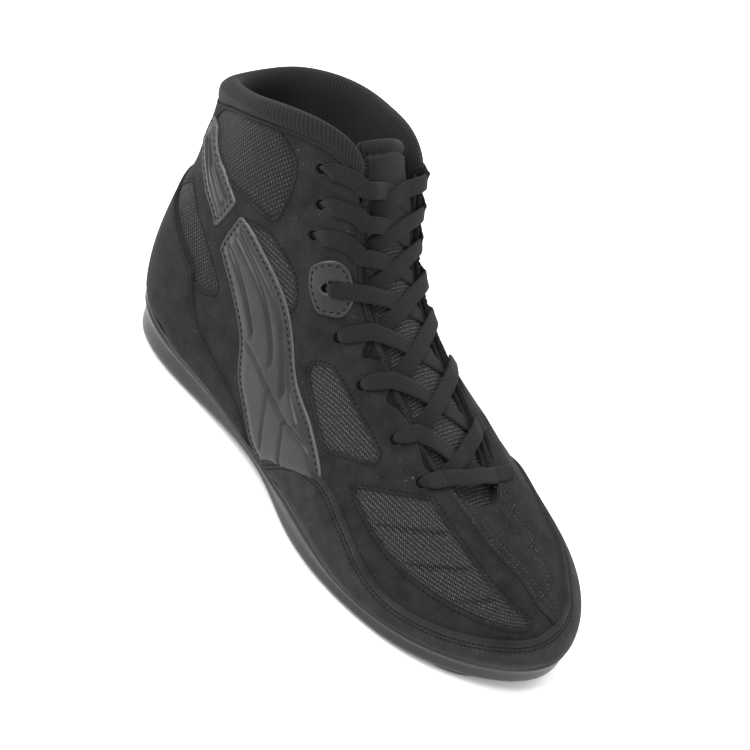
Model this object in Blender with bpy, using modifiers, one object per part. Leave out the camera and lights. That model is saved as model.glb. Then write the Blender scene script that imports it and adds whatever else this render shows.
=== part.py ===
"""A right wrestling shoe, standing empty on its sole.

The last is one surface, wrapped round the foot: "station" runs from 0 at the heel back, along the
lateral side to 10 at the toe tip and back along the medial side to 20, and "height" runs from 0 at the
feather edge to 1 at the topline. Every piece is worked out from that surface.
X points to the toe, Y to the medial side, Z up.
"""
import math

import bmesh
import bpy
import numpy as np

# Driving sizes, in metres.
LAST_LENGTH = 0.272          # feather edge, heel back to toe tip
HEEL_SETBACK = 0.007         # feather edge behind which the heel and sole still reach back
BALL_WIDTH = 0.095           # feather edge across the ball
COLLAR_HEIGHT = 0.151        # highest point of the topline over the ground
COLLAR_WIDTH = 0.068         # topline across the ankle
THROAT_WIDTH = 0.040         # gap between the two eyestays at the ball
WALL = 0.0024                # suede, foam and lining together
GAP = 0.0003                 # between pieces that touch

SOLE_THICKNESS = 0.008       # ground to footbed under the ball
HEEL_WEDGE = 0.005           # extra height of the footbed under the heel
TOE_SPRING = 0.005           # rise of the sole's toe tip
ARCH_RISE = 0.0045           # rise of the sole's underside at the waist
MEDIAL_ARCH = 0.002          # extra rise of the footbed's medial edge at the waist
POD_HEIGHT = 0.0020          # pods stand this far out of the sole
POD_GROOVE = 0.0011          # depth of the grooves between a pod's rings
POD_RINGS = 3
FLANGE_THICKNESS = 0.0020    # rubber that climbs the side of the upper
FLANGE_LIP = 0.0012          # the same at its thin top edge

INSOLE_THICKNESS = 0.0030
INSOLE_MARGIN = 0.0040       # feather edge to the insole's edge
TONGUE_THICKNESS = 0.0030
TONGUE_DEPTH = 0.0032        # outer face of the upper down to the tongue
TONGUE_CROWN = 0.0040        # how far the tongue's middle bulges out of the throat
TONGUE_SINK = 0.0055         # how much further in its top stands, inside the padded roll
TONGUE_TUCK = 0.012          # how far it reaches in under the throat's edges
COLLAR_BAND = 0.0065         # height of the padded roll that shows outside
COLLAR_PAD = 0.0095          # thickness of the roll
LINING_DEPTH = 0.038         # how far the padded lining reaches down inside
LINING_GAP = 0.0005          # between the lining and the wall
LINING_EDGE = 0.0020         # thickness of the lining at its lower edge
ROLL_BULGE = 0.0015          # how far the roll stands out of the wall and over the topline
COLLAR_TAPER = 0.50          # share of the padding lost at the roll's front ends
COLLAR_END = 4.00            # station of the roll's front ends
COUNTER_END = 3.90           # station of the heel counter's front ends
OVERLAY = 0.0012             # thickness of the panels stitched on the upper
PATCH = 0.0010               # thickness of the facing on the tongue
LACE_WIDTH = 0.0080
LACE_THICKNESS = 0.0016
LACE_CLEARANCE = 0.0008      # lace over the panels and the tongue
LACE_DROP = 0.80             # share of the way to the next row that a run covers before it goes in
LACE_REACH = 0.60            # share of the half throat at which a run goes in under the far edge

# Stations round the last. Lengths along the foot are shares of LAST_LENGTH, widths shares of BALL_WIDTH
# and heights shares of COLLAR_HEIGHT. "out" and "up" lead the wall away from the feather edge, "lean",
# "drop" and "fore" lead it into the topline. rim_y is a share of COLLAR_WIDTH or of THROAT_WIDTH.
STATION_COLUMNS = ("foot_x", "foot_y", "out", "up", "lean", "drop", "fore", "rim", "rim_x", "rim_y", "rim_z")
STATIONS = (
    (0.000, 0.000, 0.179, 0.278, -0.011, 0.298, 0.000, "collar", 0.011, 0.000, 0.918),    # heel back
    (0.030, -0.221, 0.147, 0.265, -0.042, 0.298, 0.007, "collar", 0.036, -0.279, 0.925),  # heel corner
    (0.114, -0.337, 0.095, 0.225, -0.084, 0.278, 0.000, "collar", 0.118, -0.456, 0.972),  # heel side
    (0.261, -0.347, 0.074, 0.252, -0.053, 0.278, 0.000, "collar", 0.250, -0.500, 1.050),  # rear waist
    (0.386, -0.368, 0.063, 0.238, 0.095, 0.278, 0.018, "collar", 0.382, -0.294, 1.012),   # waist
    (0.474, -0.400, 0.063, 0.225, 0.158, 0.252, 0.029, "throat", 0.430, -0.425, 0.775),   # instep
    (0.555, -0.453, 0.063, 0.212, 0.168, 0.159, 0.029, "throat", 0.511, -0.425, 0.623),   # rear ball
    (0.665, -0.505, 0.084, 0.199, 0.168, 0.079, 0.026, "throat", 0.621, -0.450, 0.510),   # ball
    (0.805, -0.463, 0.095, 0.179, 0.189, 0.033, 0.029, "throat", 0.732, -0.400, 0.411),   # toe side
    (0.926, -0.284, 0.084, 0.172, 0.253, 0.026, 0.037, "throat", 0.779, -0.200, 0.377),   # toe corner
    (1.000, 0.053, 0.063, 0.185, 0.358, 0.026, 0.000, "throat", 0.790, 0.050, 0.371),     # toe tip
    (0.963, 0.305, 0.063, 0.172, 0.253, 0.026, 0.015, "throat", 0.779, 0.200, 0.377),     # toe corner
    (0.868, 0.453, 0.074, 0.179, 0.189, 0.026, 0.015, "throat", 0.732, 0.345, 0.415),     # toe side
    (0.732, 0.495, 0.074, 0.199, 0.158, 0.053, 0.015, "throat", 0.621, 0.390, 0.520),     # ball
    (0.599, 0.400, 0.063, 0.212, 0.126, 0.132, 0.015, "throat", 0.515, 0.385, 0.634),     # rear ball
    (0.500, 0.326, 0.063, 0.225, 0.095, 0.225, 0.015, "throat", 0.434, 0.395, 0.782),     # instep
    (0.397, 0.295, 0.074, 0.252, 0.053, 0.278, 0.007, "collar", 0.375, 0.265, 0.995),     # waist
    (0.261, 0.305, 0.084, 0.265, -0.053, 0.278, 0.000, "collar", 0.246, 0.470, 1.020),    # rear waist
    (0.114, 0.316, 0.095, 0.225, -0.084, 0.278, 0.000, "collar", 0.118, 0.446, 0.995),    # heel side
    (0.030, 0.211, 0.147, 0.265, -0.042, 0.298, 0.007, "collar", 0.036, 0.279, 0.950),    # heel corner
)
LAST_STATION = len(STATIONS)
TOE = 10
SUBDIVISIONS = 3             # grid lines from one station to the next
WALL_ROWS = 10               # grid rows from the feather edge to the topline

# Height of the rubber flange over the feather edge and its reach out from it, both in metres.
FLANGE_TABLE = (
    # station, height, reach
    (0.0, 0.0125, 0.0030),   # heel back
    (1.2, 0.0115, 0.0032),
    (2.4, 0.0040, 0.0022),
    (4.0, 0.0022, 0.0012),   # waist
    (5.2, 0.0040, 0.0020),
    (6.6, 0.0100, 0.0040),   # lateral ball
    (7.3, 0.0085, 0.0044),
    (7.9, 0.0030, 0.0016),   # lateral notch
    (8.4, 0.0048, 0.0036),
    (10.0, 0.0055, 0.0030),  # toe
    (11.6, 0.0048, 0.0036),
    (12.1, 0.0030, 0.0016),  # medial notch
    (12.8, 0.0085, 0.0044),
    (13.6, 0.0090, 0.0036),  # medial ball
    (14.8, 0.0040, 0.0020),
    (16.0, 0.0022, 0.0012),  # waist
    (17.6, 0.0040, 0.0022),
    (18.8, 0.0115, 0.0032),
)

# Round pods under the sole: middle and half axes as shares of LAST_LENGTH and BALL_WIDTH, turn in degrees.
PODS = (
    # x, y, half length, half width, turn
    (0.902, -0.215, 0.092, 0.200, 24.0),    # lateral toe
    (0.922, 0.200, 0.080, 0.185, -20.0),    # medial toe
    (0.700, -0.270, 0.102, 0.232, 6.0),     # lateral ball
    (0.750, 0.245, 0.104, 0.240, -8.0),     # medial ball
    (0.128, 0.000, 0.118, 0.290, 0.0),      # heel
)
POD_STEPS = 16

# Eyelets from the throat's toe end to the collar: station and height on the lateral side, the station at
# which the lace crosses the throat's edge, and how many panels lie under it. The medial side mirrors them.
LACE_ROWS = (
    # station, height, edge station, panels
    (7.70, 0.84, 8.00, 1),
    (7.12, 0.84, 7.30, 1),
    (6.26, 0.81, 6.60, 1),
    (5.44, 0.80, 5.98, 1),
    (4.52, 0.74, 5.42, 2),
    (3.76, 0.72, 4.95, 1),
    (3.68, 0.80, 4.58, 1),
    (3.52, 0.89, 4.20, 1),
)

# Upper edges of the panels along the last, as shares of the wall's height.
MUDGUARD_EDGE = (
    # station, height
    (4.75, 0.060),
    (5.70, 0.230),
    (6.40, 0.350),
    (6.90, 0.375),
    (7.50, 0.270),
    (8.10, 0.210),
    (9.00, 0.250),
    (10.00, 0.360),
    (10.70, 0.430),
    (12.00, 0.360),
    (13.10, 0.360),
    (14.30, 0.230),
    (15.25, 0.060),
)
COUNTER_EDGE = (
    # station, height
    (0.00, 0.600),
    (0.90, 0.580),
    (1.50, 0.480),
    (2.25, 0.410),
    (2.60, 0.260),
    (3.10, 0.160),
    (3.90, 0.090),
    (16.10, 0.090),
    (16.90, 0.160),
    (17.40, 0.260),
    (17.75, 0.410),
    (18.50, 0.480),
    (19.10, 0.580),
)
EYESTAY_EDGE = (
    # station, height
    (3.25, 0.660),
    (3.75, 0.615),
    (4.50, 0.605),
    (5.40, 0.665),
    (7.00, 0.690),
    (7.80, 0.780),
    (8.60, 0.880),
    (10.00, 0.900),
    (11.40, 0.880),
    (12.20, 0.780),
    (13.00, 0.690),
    (14.60, 0.665),
    (15.50, 0.605),
    (16.25, 0.615),
    (16.75, 0.660),
)
# Side saddle, top to bottom: height, rear station and front station.
SADDLE_ROWS = (
    (0.850, 1.35, 1.95),
    (0.740, 1.62, 2.35),
    (0.620, 2.08, 2.95),
    (0.500, 2.75, 3.85),
    (0.400, 3.20, 4.60),
    (0.320, 3.50, 5.15),
    (0.250, 3.70, 5.50),
)
# Corners of the smooth tab round the fourth eyelet from the top: station and height.
TAB_CORNERS = ((4.05, 0.67), (4.66, 0.69), (5.28, 0.95), (4.84, 0.92))
TONGUE_TOE, TONGUE_TOP = 9.45, 3.75    # lateral stations of the tongue's toe end and top edge
TONGUE_EDGE = 0.72                     # share of the half width that shows in the throat

COLOURS = {
    "rubber": ((0.036, 0.039, 0.042), 0.45),
    "suede": ((0.024, 0.024, 0.023), 0.95),
    "smooth leather": ((0.070, 0.071, 0.073), 0.40),
    "knit": ((0.030, 0.032, 0.034), 0.90),
    "mesh": ((0.028, 0.030, 0.033), 0.90),
    "lace": ((0.026, 0.028, 0.031), 0.85),
    "foam": ((0.045, 0.045, 0.047), 0.95),
}


def column(name):
    """One column of the station table as an array."""
    where = STATION_COLUMNS.index(name)
    return np.array([row[where] for row in STATIONS])


def smooth_step(value, low, high):
    """0 below low, 1 above high, and a smooth S between them."""
    share = np.clip((value - low) / (high - low), 0.0, 1.0)
    return share * share * (3.0 - 2.0 * share)


def toe_spring(x):
    """Rise of the sole towards the toe tip."""
    start = HEEL_SETBACK + 0.78 * LAST_LENGTH
    share = np.clip((x - start) / (HEEL_SETBACK + LAST_LENGTH - start), 0.0, 1.2)
    return TOE_SPRING * share ** 2


def footbed(x, y):
    """Height of the sole's upper face."""
    along = (x - HEEL_SETBACK) / LAST_LENGTH
    wedge = HEEL_WEDGE * (1.0 - smooth_step(along, 0.12, 0.62))
    arch = MEDIAL_ARCH * smooth_step(y / BALL_WIDTH, 0.05, 0.30)
    arch = arch * smooth_step(along, 0.18, 0.34) * (1.0 - smooth_step(along, 0.45, 0.62))
    return SOLE_THICKNESS + wedge + arch + toe_spring(x)


def underside(x):
    """Height of the sole's lower face between the pods."""
    along = (x - HEEL_SETBACK) / LAST_LENGTH
    arch = ARCH_RISE * smooth_step(along, 0.22, 0.40) * (1.0 - smooth_step(along, 0.44, 0.60))
    return POD_HEIGHT + arch + toe_spring(x)


def periodic_spline(points, knots, period, at):
    """Smooth closed cubic curve through points at the knots, read at the values in at."""
    count = len(points)
    ends = np.append(knots, period)
    step = np.diff(ends)
    matrix = np.zeros((count, count))
    right = np.zeros((count, points.shape[1]))
    for row in range(count):
        before, after = step[row - 1], step[row]
        matrix[row, row - 1] += before
        matrix[row, row] += 2.0 * (before + after)
        matrix[row, (row + 1) % count] += after
        slope = (points[(row + 1) % count] - points[row]) / after - (points[row] - points[row - 1]) / before
        right[row] = 6.0 * slope
    bend = np.linalg.solve(matrix, right)
    at = np.mod(at, period)
    low = np.clip(np.searchsorted(ends, at, side="right") - 1, 0, count - 1)
    high = (low + 1) % count
    done = (at - ends[low])[:, None]
    left = (ends[low + 1] - at)[:, None]
    width = step[low][:, None]
    curve = (bend[low] * left ** 3 + bend[high] * done ** 3) / (6.0 * width)
    curve += (points[low] / width - bend[low] * width / 6.0) * left
    return curve + (points[high] / width - bend[high] * width / 6.0) * done


def last_controls():
    """Four control points of the wall at each station: feather edge, lower and upper guide, topline."""
    foot_x = HEEL_SETBACK + column("foot_x").astype(float) * LAST_LENGTH
    foot_y = column("foot_y").astype(float) * BALL_WIDTH
    foot = np.stack([foot_x, foot_y, footbed(foot_x, foot_y) + GAP], axis=1)
    along = np.roll(foot, -1, axis=0) - np.roll(foot, 1, axis=0)
    along = along[:, :2] / np.linalg.norm(along[:, :2], axis=1)[:, None]
    outward = np.stack([along[:, 1], -along[:, 0], np.zeros(len(foot))], axis=1)
    rim_width = np.where(column("rim") == "collar", COLLAR_WIDTH, THROAT_WIDTH)
    rim_x = HEEL_SETBACK + column("rim_x").astype(float) * LAST_LENGTH
    rim = np.stack([rim_x, column("rim_y").astype(float) * rim_width,
                    column("rim_z").astype(float) * COLLAR_HEIGHT], axis=1)
    up = np.array([0.0, 0.0, 1.0])
    ahead = np.array([1.0, 0.0, 0.0])
    lower = foot + outward * (column("out").astype(float) * BALL_WIDTH)[:, None]
    lower = lower + up * (column("up").astype(float) * COLLAR_HEIGHT)[:, None]
    upper = rim + outward * (column("lean").astype(float) * BALL_WIDTH)[:, None]
    upper = upper - up * (column("drop").astype(float) * COLLAR_HEIGHT)[:, None]
    upper = upper + ahead * (column("fore").astype(float) * LAST_LENGTH)[:, None]
    return foot, lower, upper, rim


CONTROLS = last_controls()
STRIDES = np.linalg.norm(np.roll(CONTROLS[0], -1, axis=0) - CONTROLS[0], axis=1)
KNOTS = np.concatenate([[0.0], np.cumsum(STRIDES)[:-1]])
PERIOD = float(STRIDES.sum())


def last_point(station, height):
    """Point of the last: a cubic Bezier up the wall, whose controls run round it on closed splines."""
    station, height = np.broadcast_arrays(np.asarray(station, float), np.asarray(height, float))
    flat = np.mod(station.ravel(), LAST_STATION)
    at = np.interp(flat, np.arange(LAST_STATION + 1), np.append(KNOTS, PERIOD))
    foot, lower, upper, rim = (periodic_spline(row, KNOTS, PERIOD, at) for row in CONTROLS)
    share = height.ravel()[:, None]
    rest = 1.0 - share
    point = foot * rest ** 3 + 3.0 * lower * rest ** 2 * share
    point = point + 3.0 * upper * rest * share ** 2 + rim * share ** 3
    return point.reshape(station.shape + (3,))


def last_frame(station, height):
    """Point, outward normal and direction up the wall."""
    tiny = 1e-4
    point = last_point(station, height)
    around = last_point(np.asarray(station) + tiny, height) - last_point(np.asarray(station) - tiny, height)
    upward = last_point(station, np.asarray(height) + tiny) - last_point(station, np.asarray(height) - tiny)
    normal = np.cross(around, upward)
    normal /= np.linalg.norm(normal, axis=-1, keepdims=True)
    upward /= np.linalg.norm(upward, axis=-1, keepdims=True)
    return point, normal, upward


def offset_point(station, height, distance):
    """Point at a distance out of the last."""
    point, normal, _ = last_frame(station, height)
    return point + normal * np.asarray(distance)[..., None]


def height_below_rim(station, distance):
    """Height share at a distance down the wall from the topline."""
    near = last_point(station, 1.0) - last_point(station, 0.97)
    return 1.0 - 0.03 * np.asarray(distance) / np.linalg.norm(near, axis=-1)


def height_at_rise(station, rise):
    """Height share at which the wall has climbed by rise over the feather edge."""
    steps = np.linspace(0.0, 0.7, 29)
    climb = last_point(np.asarray(station)[:, None], steps[None, :])[..., 2]
    climb = climb - climb[:, :1]
    return np.array([np.interp(r, c, steps) for r, c in zip(rise, climb)])


def table_value(table, station, where):
    """Smooth reading of a table round the last, whose first column is the station."""
    rows = np.array(table)
    at = np.mod(np.asarray(station, float), LAST_STATION)
    knots = np.append(rows[:, 0], LAST_STATION)
    values = np.append(rows[:, where], rows[0, where])
    low = np.clip(np.searchsorted(knots, at, side="right") - 1, 0, len(rows) - 1)
    share = smooth_step(at, knots[low], knots[low + 1])
    return values[low] + (values[low + 1] - values[low]) * share


def collar_share(station):
    """1 round the ankle, where the padded collar sits, and 0 along the throat."""
    away = np.abs(np.mod(np.asarray(station, float) + TOE, LAST_STATION) - TOE)
    return 1.0 - smooth_step(away, 4.15, 4.65)


def material(name):
    """The material of that name, made once."""
    if name in bpy.data.materials:
        return bpy.data.materials[name]
    colour, roughness = COLOURS[name]
    made = bpy.data.materials.new(name)
    made.use_nodes = True
    shader = made.node_tree.nodes["Principled BSDF"]
    shader.inputs["Base Color"].default_value = (*colour, 1.0)
    shader.inputs["Roughness"].default_value = roughness
    shader.inputs["Metallic"].default_value = 0.0
    return made


def add_object(name, points, faces, finish, collection):
    """One mesh object from points and faces, with its material."""
    mesh = bpy.data.meshes.new(name)
    mesh.from_pydata([tuple(map(float, point)) for point in points], [], faces)
    mesh.update()
    made = bpy.data.objects.new(name, mesh)
    made.data.materials.append(material(finish))
    collection.objects.link(made)
    return made


def grid_faces(rows, columns, close_columns=False):
    """Quads of a grid of rows by columns, stored row by row."""
    span = columns if close_columns else columns - 1
    faces = []
    for row in range(rows - 1):
        for place in range(span):
            after = (place + 1) % columns
            here, above = row * columns, (row + 1) * columns
            faces.append((here + place, here + after, above + after, above + place))
    return faces


def add_shell(name, grid, thickness, outward, finish, collection, close_columns=False):
    """An open grid of points, thickened to one side by Solidify."""
    rows, columns = grid.shape[:2]
    faces = grid_faces(rows, columns, close_columns)
    made = add_object(name, grid.reshape(-1, 3), faces, finish, collection)
    solid = made.modifiers.new("wall", "SOLIDIFY")
    solid.thickness = thickness
    solid.offset = 1.0 if outward else -1.0
    solid.use_even_offset = False
    made.data.shade_smooth()
    return made


def stations_between(first, last):
    """Grid lines of the upper from first to last, with both ends."""
    lines = np.arange(math.ceil(first * SUBDIVISIONS + 1e-6), math.floor(last * SUBDIVISIONS - 1e-6) + 1)
    return np.concatenate([[first], lines / SUBDIVISIONS, [last]])


def make_upper(collection):
    """The wall from the feather edge to the topline, open at throat, collar and underneath."""
    station = np.arange(LAST_STATION * SUBDIVISIONS) / SUBDIVISIONS
    top = height_below_rim(station, COLLAR_BAND * collar_share(station))
    height = np.linspace(0.0, 1.0, WALL_ROWS + 1)[:, None] * top[None, :]
    grid = last_point(station[None, :], height)
    return add_shell("upper", grid, WALL, False, "suede", collection, close_columns=True)


def zip_faces(ring, count, downward):
    """Faces across a closed ring that pair each lateral point with the medial one opposite."""
    faces = []
    for place in range(count // 2):
        left, left_next = ring + place, ring + place + 1
        right = ring + (count - place) % count
        right_next = ring + (count - place - 1) % count
        face = [left, left_next, right_next, right]
        face = list(dict.fromkeys(face))
        faces.append(tuple(face[::-1] if downward else face))
    return faces


def sole_rings():
    """Closed rings round the sole, from the footbed over the flange to the underside."""
    station = np.arange(LAST_STATION * SUBDIVISIONS) / SUBDIVISIONS
    flange = table_value(FLANGE_TABLE, station, 1)
    reach = table_value(FLANGE_TABLE, station, 2)
    foot, normal, _ = last_frame(station, 0.0)
    level = normal * np.array([1.0, 1.0, 0.0])
    level /= np.linalg.norm(level, axis=1)[:, None]
    top = height_at_rise(station, flange)
    drop = np.array([0.0, 0.0, GAP])

    def ring(inset, depth_share):
        """Ring inside the feather edge, from the footbed at share 0 to the underside at 1."""
        point = foot + level * (reach - inset if depth_share else -inset * np.ones(len(foot)))[:, None]
        upper_face = footbed(point[:, 0], point[:, 1])
        lower_face = underside(point[:, 0])
        point[:, 2] = upper_face + (lower_face - upper_face) * depth_share
        return point

    outer_edge = foot + level * reach[:, None] - drop
    outer_edge[:, 2] -= 0.35 * (outer_edge[:, 2] - underside(outer_edge[:, 0]))
    return [
        ring(0.012, 0.0),
        foot + level * GAP - drop,
        offset_point(station, 0.5 * top, GAP),
        offset_point(station, top, GAP),
        offset_point(station, top + 0.004, GAP + FLANGE_LIP),
        offset_point(station, 0.45 * top, GAP + FLANGE_THICKNESS),
        outer_edge,
        ring(0.0016, 1.0),
        ring(0.014, 1.0),
    ]


def pod_profile():
    """Half section of a pod, from the middle of its lower face out and up to its root in the sole."""
    profile = [(0.0, 0.0)]
    first, last = 0.12, 0.78
    pitch = (last - first) / POD_RINGS
    for ring in range(POD_RINGS):
        start = first + ring * pitch
        profile.append((start, 0.0))
        profile.append((start + 0.35 * pitch, POD_GROOVE))
    profile.append((last, 0.0))
    profile.append((0.96, 0.0))
    profile.append((1.0, 0.4 * POD_HEIGHT))
    profile.append((1.0, POD_HEIGHT + POD_GROOVE))
    profile.append((0.0, POD_HEIGHT + POD_GROOVE))
    return profile


def make_pod(number, row, collection):
    """One ringed pod: a turned profile, stretched to an ellipse and bent with the toe spring."""
    x, y, half_length, half_width, turn = row
    profile = pod_profile()
    outline = [(share, 0.0, z) for share, z in profile]
    made = add_object(f"pod_{number}", outline, [], "rubber", collection)
    edges = [(place, place + 1) for place in range(len(outline) - 1)]
    made.data.clear_geometry()
    made.data.from_pydata(outline, edges, [])
    spin = made.modifiers.new("turn", "SCREW")
    spin.angle = 2.0 * math.pi
    spin.steps = spin.render_steps = POD_STEPS
    spin.axis = "Z"
    spin.use_merge_vertices = True
    spin.merge_threshold = 0.00005
    spin.use_normal_calculate = True
    graph = bpy.context.evaluated_depsgraph_get()
    turned = bpy.data.meshes.new_from_object(made.evaluated_get(graph))
    made.modifiers.clear()
    made.data = turned
    angle = math.radians(turn)
    for vertex in turned.vertices:
        along = vertex.co.x * half_length * LAST_LENGTH
        across = vertex.co.y * half_width * BALL_WIDTH
        vertex.co.x = HEEL_SETBACK + x * LAST_LENGTH + along * math.cos(angle) - across * math.sin(angle)
        vertex.co.y = y * BALL_WIDTH + along * math.sin(angle) + across * math.cos(angle)
        vertex.co.z += float(toe_spring(np.float64(vertex.co.x)))
    tidy = bmesh.new()
    tidy.from_mesh(turned)
    bmesh.ops.remove_doubles(tidy, verts=tidy.verts, dist=0.00002)
    bmesh.ops.recalc_face_normals(tidy, faces=tidy.faces)
    tidy.to_mesh(turned)
    tidy.free()
    return made


def make_outsole(collection, cutters):
    """Rubber cupsole with a flange and ringed pods, moulded in one piece."""
    rings = sole_rings()
    count = len(rings[0])
    points = np.concatenate(rings)
    faces = [face[::-1] for face in grid_faces(len(rings), count, close_columns=True)]
    faces += zip_faces(0, count, downward=False)
    faces += zip_faces((len(rings) - 1) * count, count, downward=True)
    made = add_object("outsole", points, faces, "rubber", collection)
    shape = bmesh.new()
    shape.from_mesh(made.data)
    bmesh.ops.recalc_face_normals(shape, faces=shape.faces)
    bmesh.ops.triangulate(shape, faces=shape.faces)
    shape.to_mesh(made.data)
    shape.free()
    for number, row in enumerate(PODS):
        pod = make_pod(number, row, cutters)
        pod.hide_render = True
        pod.display_type = "WIRE"
        join = made.modifiers.new(f"pod {number}", "BOOLEAN")
        join.operation = "UNION"
        join.object = pod
        join.solver = "EXACT"
    return made


def make_insole(collection):
    """Thin sock liner that lies on the footbed inside the upper."""
    station = np.arange(LAST_STATION * SUBDIVISIONS) / SUBDIVISIONS
    foot, normal, _ = last_frame(station, 0.0)
    level = normal * np.array([1.0, 1.0, 0.0])
    level /= np.linalg.norm(level, axis=1)[:, None]
    rings = []
    for inset, rise in ((0.012, GAP), (INSOLE_MARGIN, GAP), (INSOLE_MARGIN, INSOLE_THICKNESS),
                        (0.012, INSOLE_THICKNESS)):
        ring = foot - level * inset
        ring[:, 2] = footbed(ring[:, 0], ring[:, 1]) + rise
        rings.append(ring)
    count = len(station)
    faces = grid_faces(len(rings), count, close_columns=True)
    faces += zip_faces(0, count, downward=True)
    faces += zip_faces((len(rings) - 1) * count, count, downward=False)
    made = add_object("insole", np.concatenate(rings), faces, "foam", collection)
    turn_outward(made)
    return made


def throat_point(station, across, depth, tuck, crown):
    """Point over or under the throat. across runs from -1 on the lateral edge to 1 on the medial one;
    past them the point lies on the wall, tuck below the edge. depth is how far it lies inside the last,
    and crown is the bulge of the middle, forward and up."""
    station, across, depth, tuck, crown = np.broadcast_arrays(station, across, depth, tuck, crown)
    lateral, medial = (
        offset_point(side, height_below_rim(side, tuck), -depth) for side in (station, LAST_STATION - station)
    )
    blend = np.clip(0.5 + 0.5 * across, 0.0, 1.0)
    middle = lateral * (1.0 - blend[..., None]) + medial * blend[..., None]
    bulge = 4.0 * blend * (1.0 - blend) * crown
    return middle + np.stack([bulge, np.zeros_like(bulge), bulge], axis=-1)


def tongue_point(along, across, depth):
    """Point of the tongue. along runs from 0 at its toe end to 1 at its top edge, across from -1 to 1
    between its own edges, which are tucked in under the wall."""
    station = TONGUE_TOE + (TONGUE_TOP - TONGUE_TOE) * along
    side_tuck = TONGUE_TUCK * np.clip((np.abs(across) - TONGUE_EDGE) / (1.0 - TONGUE_EDGE), 0.0, 1.0)
    toe_tuck = TONGUE_TUCK * (1.0 - smooth_step(along, 0.0, 0.14))
    crown = TONGUE_CROWN * smooth_step(along, 0.12, 0.45)
    depth = depth + TONGUE_SINK * (1.0 - smooth_step(station, COLLAR_END, COLLAR_END + 0.7))
    return throat_point(station, across / TONGUE_EDGE, depth, np.maximum(side_tuck, toe_tuck), crown)


def make_tongue(collection):
    """Padded tongue under the throat, tucked in below both eyestays."""
    along = np.linspace(0.0, 1.0, 17)[:, None]
    across = np.array([-1.0, -0.86, -0.72, -0.45, -0.15, 0.15, 0.45, 0.72, 0.86, 1.0])[None, :]
    along, across = np.broadcast_arrays(along, across)
    grid = tongue_point(along, across, TONGUE_DEPTH)
    return add_shell("tongue", grid, TONGUE_THICKNESS, False, "mesh", collection)


def make_tongue_patch(collection):
    """Suede facing on the tongue's top."""
    along, across = np.meshgrid(np.linspace(0.88, 0.985, 4), np.linspace(-0.6, 0.6, 7), indexing="ij")
    grid = tongue_point(along, across, TONGUE_DEPTH - GAP)
    return add_shell("tongue_patch", grid, PATCH, True, "suede", collection)


def make_collar(collection):
    """Padded roll round the ankle, with the lining that reaches down inside the wall."""
    station = np.arange(-COLLAR_END * SUBDIVISIONS, COLLAR_END * SUBDIVISIONS + 1) / SUBDIVISIONS
    inside = WALL + LINING_GAP
    pad = COLLAR_PAD * (1.0 - COLLAR_TAPER * smooth_step(np.abs(station), 2.8, COLLAR_END))
    section = (
        # distance below the topline, distance out of the last
        (COLLAR_BAND - GAP, 0.0),
        (0.55 * COLLAR_BAND, ROLL_BULGE),
        (0.12 * COLLAR_BAND, 0.5 * ROLL_BULGE),
        (-ROLL_BULGE, -0.30 * pad),
        (0.0, -0.75 * pad),
        (0.8 * COLLAR_BAND, -pad),
        (0.50 * LINING_DEPTH, -0.88 * pad),
        (0.92 * LINING_DEPTH, -inside - LINING_EDGE),
        (LINING_DEPTH, -inside),
        (0.75 * LINING_DEPTH, -inside),
        (0.50 * LINING_DEPTH, -inside),
        (COLLAR_BAND - GAP, -inside),
    )
    _, normal, upward = last_frame(station, 1.0)
    rings = []
    for below, out in section:
        height = height_below_rim(station, max(below, 0.0))
        ring = offset_point(station, height, out * np.ones_like(station))
        rings.append(ring + upward * max(-below, 0.0))
    grid = np.stack(rings, axis=1)
    rows, columns = grid.shape[:2]
    faces = grid_faces(rows, columns, close_columns=True)
    faces.append(tuple(range(columns))[::-1])
    faces.append(tuple((rows - 1) * columns + place for place in range(columns)))
    made = add_object("collar", grid.reshape(-1, 3), faces, "knit", collection)
    turn_outward(made)
    return made


def panel_grid(station, low, high, rows, lift):
    """Grid of a panel between two edges, at a distance out of the last."""
    share = np.linspace(0.0, 1.0, rows + 1)[:, None]
    height = low[None, :] + (high - low)[None, :] * share
    around = np.broadcast_to(station, height.shape)
    return offset_point(around, height, np.full(height.shape, lift))


def over_flange(station):
    """Height share just above the rubber flange."""
    return height_at_rise(station, table_value(FLANGE_TABLE, station, 1) + 3.0 * GAP)


def make_mudguard(collection):
    """Suede rand round the toe, up to the waist on both sides."""
    station = stations_between(MUDGUARD_EDGE[0][0], MUDGUARD_EDGE[-1][0])
    high = table_value(MUDGUARD_EDGE, station, 1)
    grid = panel_grid(station, over_flange(station), high, 4, GAP)
    return add_shell("mudguard", grid, OVERLAY, True, "suede", collection)


def make_heel_counter(collection):
    """Suede panel round the heel, drawn out to a strip along both waists."""
    station = stations_between(-COUNTER_END, COUNTER_END)
    high = table_value(COUNTER_EDGE, station, 1)
    grid = panel_grid(station, over_flange(station), high, 7, GAP)
    return add_shell("heel_counter", grid, OVERLAY, True, "suede", collection)


def make_eyestay(collection):
    """Suede facing along the throat on both sides, in one piece round its toe end."""
    station = stations_between(EYESTAY_EDGE[0][0], EYESTAY_EDGE[-1][0])
    low = table_value(EYESTAY_EDGE, station, 1)
    high = height_below_rim(station, COLLAR_BAND * collar_share(station) + GAP)
    grid = panel_grid(station, low, high, 4, GAP)
    return add_shell("eyestay", grid, OVERLAY, True, "suede", collection)


def side_station(station, medial):
    """The same place on the other side of the last, where medial is set."""
    return LAST_STATION - station if medial else station


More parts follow.
